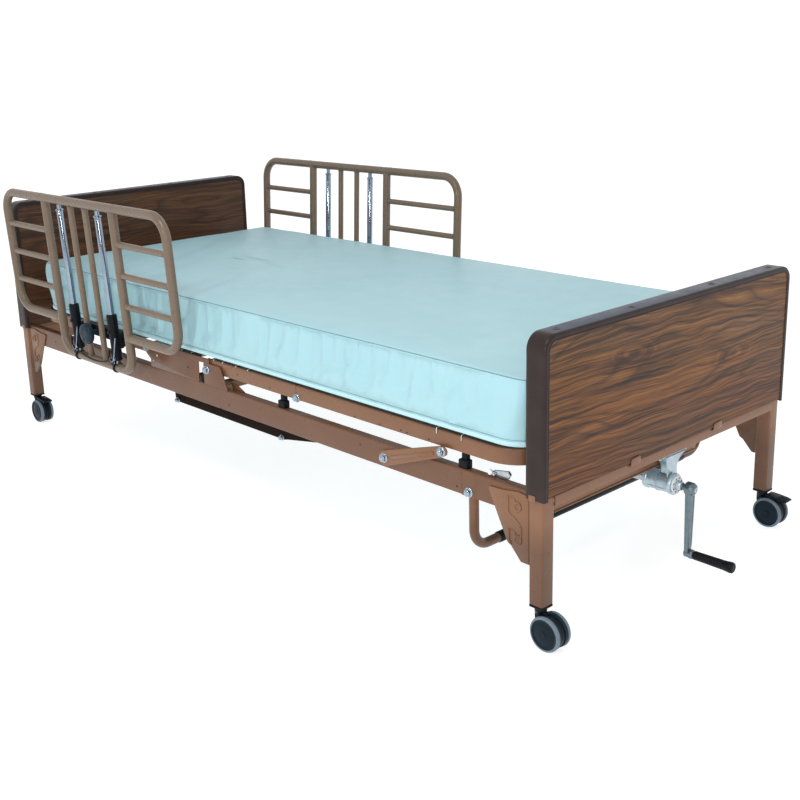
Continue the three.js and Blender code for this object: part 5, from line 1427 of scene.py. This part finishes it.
def settle():
    """Lets the slack side panels of the cover fall into folds between their two sewn edges."""
    rows = [r for r in ROWS if 17 <= r[0] <= 142.5]
    rings = [surface_row(z, i) for z, i in rows]
    n = len(rings[0])
    me = bpy.data.meshes.new("settle")
    me.from_pydata([P(p) for r in rings for p in r], [], [(a * n + k, a * n + (k + 1) % n, (a + 1) * n + (k + 1) % n, (a + 1) * n + k) for a in range(len(rows) - 1) for k in range(n)])
    o = bpy.data.objects.new("settle", me)
    scene.collection.objects.link(o)
    vg = o.vertex_groups.new(name="sewn")
    vg.add(list(range(n)) + list(range((len(rows) - 1) * n, len(rows) * n)), 1.0, "REPLACE")
    m = o.modifiers.new("cloth", "CLOTH")
    c = m.settings
    c.quality, c.mass, c.air_damping = 7, 0.25, 2.0
    c.tension_stiffness = c.compression_stiffness = 30.0
    c.shear_stiffness, c.bending_stiffness = 8.0, 0.06
    c.tension_damping = c.compression_damping = 8.0
    c.shear_damping, c.bending_damping = 6.0, 0.5
    c.vertex_group_mass = "sewn"
    c.shrink_min = -0.024
    c.use_pressure, c.uniform_pressure_force = True, 0.25
    m.collision_settings.use_collision = False
    m.point_cache.frame_start, m.point_cache.frame_end = 1, 40
    for f in range(1, 33):
        scene.frame_set(f)
    ev = o.evaluated_get(bpy.context.evaluated_depsgraph_get())
    co = [(v.co.x * 1000.0 - SHIFT_X, v.co.y * 1000.0, v.co.z * 1000.0) for v in ev.data.vertices]
    SETTLED["inset"] = {z: i for z, i in rows[1:-1]}
    for a, (z, i) in list(enumerate(rows))[1:-1]:
        SETTLED[z] = co[a * n:(a + 1) * n]
    scene.frame_set(1)
    bpy.data.objects.remove(o)
    bpy.data.meshes.remove(me)


settle()


def cover():
    g, prev = G(), None
    first = None
    for z, inset in ROWS:
        pts = surface_row(z, inset)
        n = len(pts)
        ring = list(range(len(g.v), len(g.v) + n))
        g.v += pts
        if prev:
            g.f += [(prev[i], prev[(i + 1) % n], ring[(i + 1) % n], ring[i]) for i in range(n)]
        else:
            first = ring
        prev = ring
    base = outline(34.0)
    for d in (26, 31, 37, 44, 52, 62, 73, 86, 100, 116, 134, 154, 176, 200, 226, 254, 284, 316, 350, 386, 428):
        ring = []
        for x0, y0, nx, ny, s_ in base:
            e_ = min(d, 26.0)
            x, y = x0 - nx * e_, y0 - ny * e_
            if d > e_:
                x = CX + (x - CX) * (HALF_X - d) / (HALF_X - e_)
                y = y * (MY - d) / (MY - e_)
            ring.append(len(g.v))
            g.v.append((x, y, top_height(x, y)))
        g.f += [(prev[i], prev[(i + 1) % n], ring[(i + 1) % n], ring[i]) for i in range(n)]
        prev = ring
    g.f.append(tuple(prev))
    g.f.append(tuple(reversed(first)))
    return g


def along(z, inset, profile, follow=True):
    """A strip sewn all round the cover; profile in (out, up)."""
    g, k = G(), len(profile)
    pts = surface_row(z, inset)
    base = outline(corner_radius(z))
    n = len(pts)
    for (x, y, zz), (_, _, nx, ny, _) in zip(pts, base):
        g.v += [(x + nx * a, y + ny * a, zz + b) for a, b in profile]
    for i in range(n):
        j = (i + 1) % n
        g.f += [(i * k + q, i * k + (q + 1) % k, j * k + (q + 1) % k, j * k + q) for q in range(k)]
    return g


def corner_seams():
    """Upright seams where the side panels meet at the foot and head corners."""
    g = G()
    rows = [r for r in ROWS if 12 <= r[0] <= 146.2]
    idx = [208 + N_ARC // 2, 208 + N_ARC + 88 + N_ARC // 2, 2 * 208 + 2 * N_ARC + 88 + N_ARC // 2, 2 * 208 + 3 * N_ARC + 2 * 88 + N_ARC // 2]
    paths = [[] for _ in idx]
    for z, inset in rows:
        r = surface_row(z, inset - 0.3)
        for p, i in zip(paths, idx):
            p.append(r[i])
    for p in paths:
        g.add(tube(p, 0.9, 8, round_end=0.6))
    return g


def sliced(o, lo, hi):
    """Keeps what lies between two x planes and closes the cuts."""
    bm = bmesh.new()
    bm.from_mesh(o.data)
    for x, keep_above in ((lo, True), (hi, False)):
        if x is None:
            continue
        r = bmesh.ops.bisect_plane(bm, geom=bm.verts[:] + bm.edges[:] + bm.faces[:], dist=1e-7, plane_co=P((x, 0, 0)), plane_no=(1, 0, 0),
                                   clear_inner=keep_above, clear_outer=not keep_above)
        edges = [e for e in r["geom_cut"] if isinstance(e, bmesh.types.BMEdge)]
        bmesh.ops.holes_fill(bm, edges=edges, sides=0)
    bmesh.ops.recalc_face_normals(bm, faces=bm.faces)
    bm.to_mesh(o.data)
    bm.free()
    for p in o.data.polygons:
        p.use_smooth = True
    o.data.set_sharp_from_angle(angle=RAD(55))


ZONES = (("head", None, CUTS[0], "back_section", "bed_frame", -500.0, -200.0, ("mattress_back", "mattress_fold_back")),
         ("seat", CUTS[0], CUTS[1], "bed_frame", "thigh_section", -200.0, 96.0, ("mattress_seat", "mattress_fold_thigh")),
         ("foot", CUTS[1], None, "thigh_section", "calf_section", 136.0, 512.0, ("mattress_thigh", "mattress_calf")))
PIPE = [(0.6 + 2.2 * COS(RAD(a)), 5.2 * SIN(RAD(a))) for a in range(0, 360, 20)]
WELT = [(0.3 + 0.85 * COS(RAD(a)), 0.85 * SIN(RAD(a))) for a in range(0, 360, 45)]
STITCH = [(0.1 + 0.6 * COS(RAD(a)), 0.6 * SIN(RAD(a))) for a in range(0, 360, 60)]
SEAM = G().add(along(145.2, 9.4, WELT), along(14.5, 1.9, STITCH), corner_seams())
for part, geom, mat in (("cover", cover(), VINYL), ("piping", along(6.2, 1.4, PIPE), VINYL_PIPE), ("seams", SEAM, THREAD)):
    for zone, lo, hi, a, b, x0, x1, nodes in ZONES:
        o = make(f"mattress_{part}_{zone}", geom, mat, 55)
        sliced(o, lo, hi)
        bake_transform(o)
        if part == "cover":
            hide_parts(*nodes)

# --------------------------------------------------------------------- stage
floor_m, nt, b = new_material("floor_pale")
v = coords(nt)
nt.links.new(ramp(nt, noise_tex(nt, v, 1.5, 2.0), [(0.3, gray(0.48)), (0.7, gray(0.52))]), b.inputs["Base Color"])
b.inputs["Roughness"].default_value = 0.9
b.inputs["Specular IOR Level"].default_value = 0.02
b.inputs["Emission Color"].default_value = (1, 1, 1, 1)
b.inputs["Emission Strength"].default_value = 0.76
me = bpy.data.meshes.new("floor")
S = 60.0
me.from_pydata([(-S, -S, -0.001), (S, -S, -0.001), (S, S, -0.001), (-S, S, -0.001)], [], [(0, 1, 2, 3)])
me.materials.append(floor_m)
floor = bpy.data.objects.new("floor", me)
scene.collection.objects.link(floor)

# a studio sweep: white all round at eye level, dimmer overhead and in front of the bed
world = bpy.data.worlds.new("studio")
scene.world = world
world.use_nodes = True
wt = world.node_tree
bg = wt.nodes["Background"]
wtc = node(wt, "ShaderNodeTexCoord")
wx, wy, wz = node(wt, "ShaderNodeSeparateXYZ", {"Vector": wtc.outputs["Generated"]}).outputs
front = math_node(wt, "ADD", math_node(wt, "MULTIPLY", wx, 0.737), math_node(wt, "MULTIPLY", wy, -0.676))
front_dim = ramp(wt, front, [(0.0, gray(1.0)), (0.40, gray(0.88)), (0.70, gray(0.24)), (1.0, gray(0.12))])
overhead = ramp(wt, wz, [(0.0, gray(1.0)), (0.20, gray(1.0)), (0.50, gray(0.78)), (1.0, gray(0.66))])
wt.links.new(mix_color(wt, 1.0, front_dim, overhead, "MULTIPLY"), bg.inputs["Color"])
bg.inputs["Strength"].default_value = 1.06


def area(name, loc, target, size, power, color=(1, 1, 1)):
    L = bpy.data.lights.new(name, "AREA")
    L.shape, L.size, L.size_y, L.energy, L.color = "RECTANGLE", size[0], size[1], power, color
    o = bpy.data.objects.new(name, L)
    o.location = loc
    o.rotation_euler = (Vector(target) - Vector(loc)).to_track_quat("-Z", "Y").to_euler()
    scene.collection.objects.link(o)


area("key_side", (1.35, -3.75, 1.66), (0.0, -0.2, 0.45), (0.34, 0.34), 31, (1.0, 1.0, 0.99))
area("key_front", (3.5, -3.0, 1.32), (0.5, 0.0, 0.45), (0.5, 0.5), 24, (1.0, 0.99, 0.975))
area("fill_foot", (5.2, -0.9, 2.3), (0.3, 0.0, 0.45), (1.6, 1.6), 20, (1.0, 0.985, 0.96))
area("top_near", (0.9, -1.7, 2.9), (0.4, -0.3, 0.5), (1.2, 1.2), 33, (0.99, 0.995, 1.0))

cam = bpy.data.cameras.new("camera")
cam_o = bpy.data.objects.new("camera", cam)
scene.collection.objects.link(cam_o)
az, el, ro = 0.829, 0.270, -0.029
fwd = Vector((-SIN(az) * COS(el), COS(az) * COS(el), -SIN(el)))
right = fwd.cross(Vector((0, 0, 1))).normalized()
upv = right.cross(fwd)
r2 = right * COS(ro) + upv * SIN(ro)
u2 = -right * SIN(ro) + upv * COS(ro)
rot = Matrix((r2, u2, -fwd)).transposed().to_4x4()
cam_o.matrix_world = Matrix.Translation((2.4112, -2.1247, 1.2185)) @ rot
cam.sensor_width = 36.0
cam.lens = 1173.3 * 36.0 / 800.0
cam.shift_x = 0.01875
cam.shift_y = -0.05
cam.clip_end = 200.0
scene.camera = cam_o
scene.view_settings.view_transform = "Standard"
scene.view_settings.look = "None"
scene.view_settings.exposure = 0.0
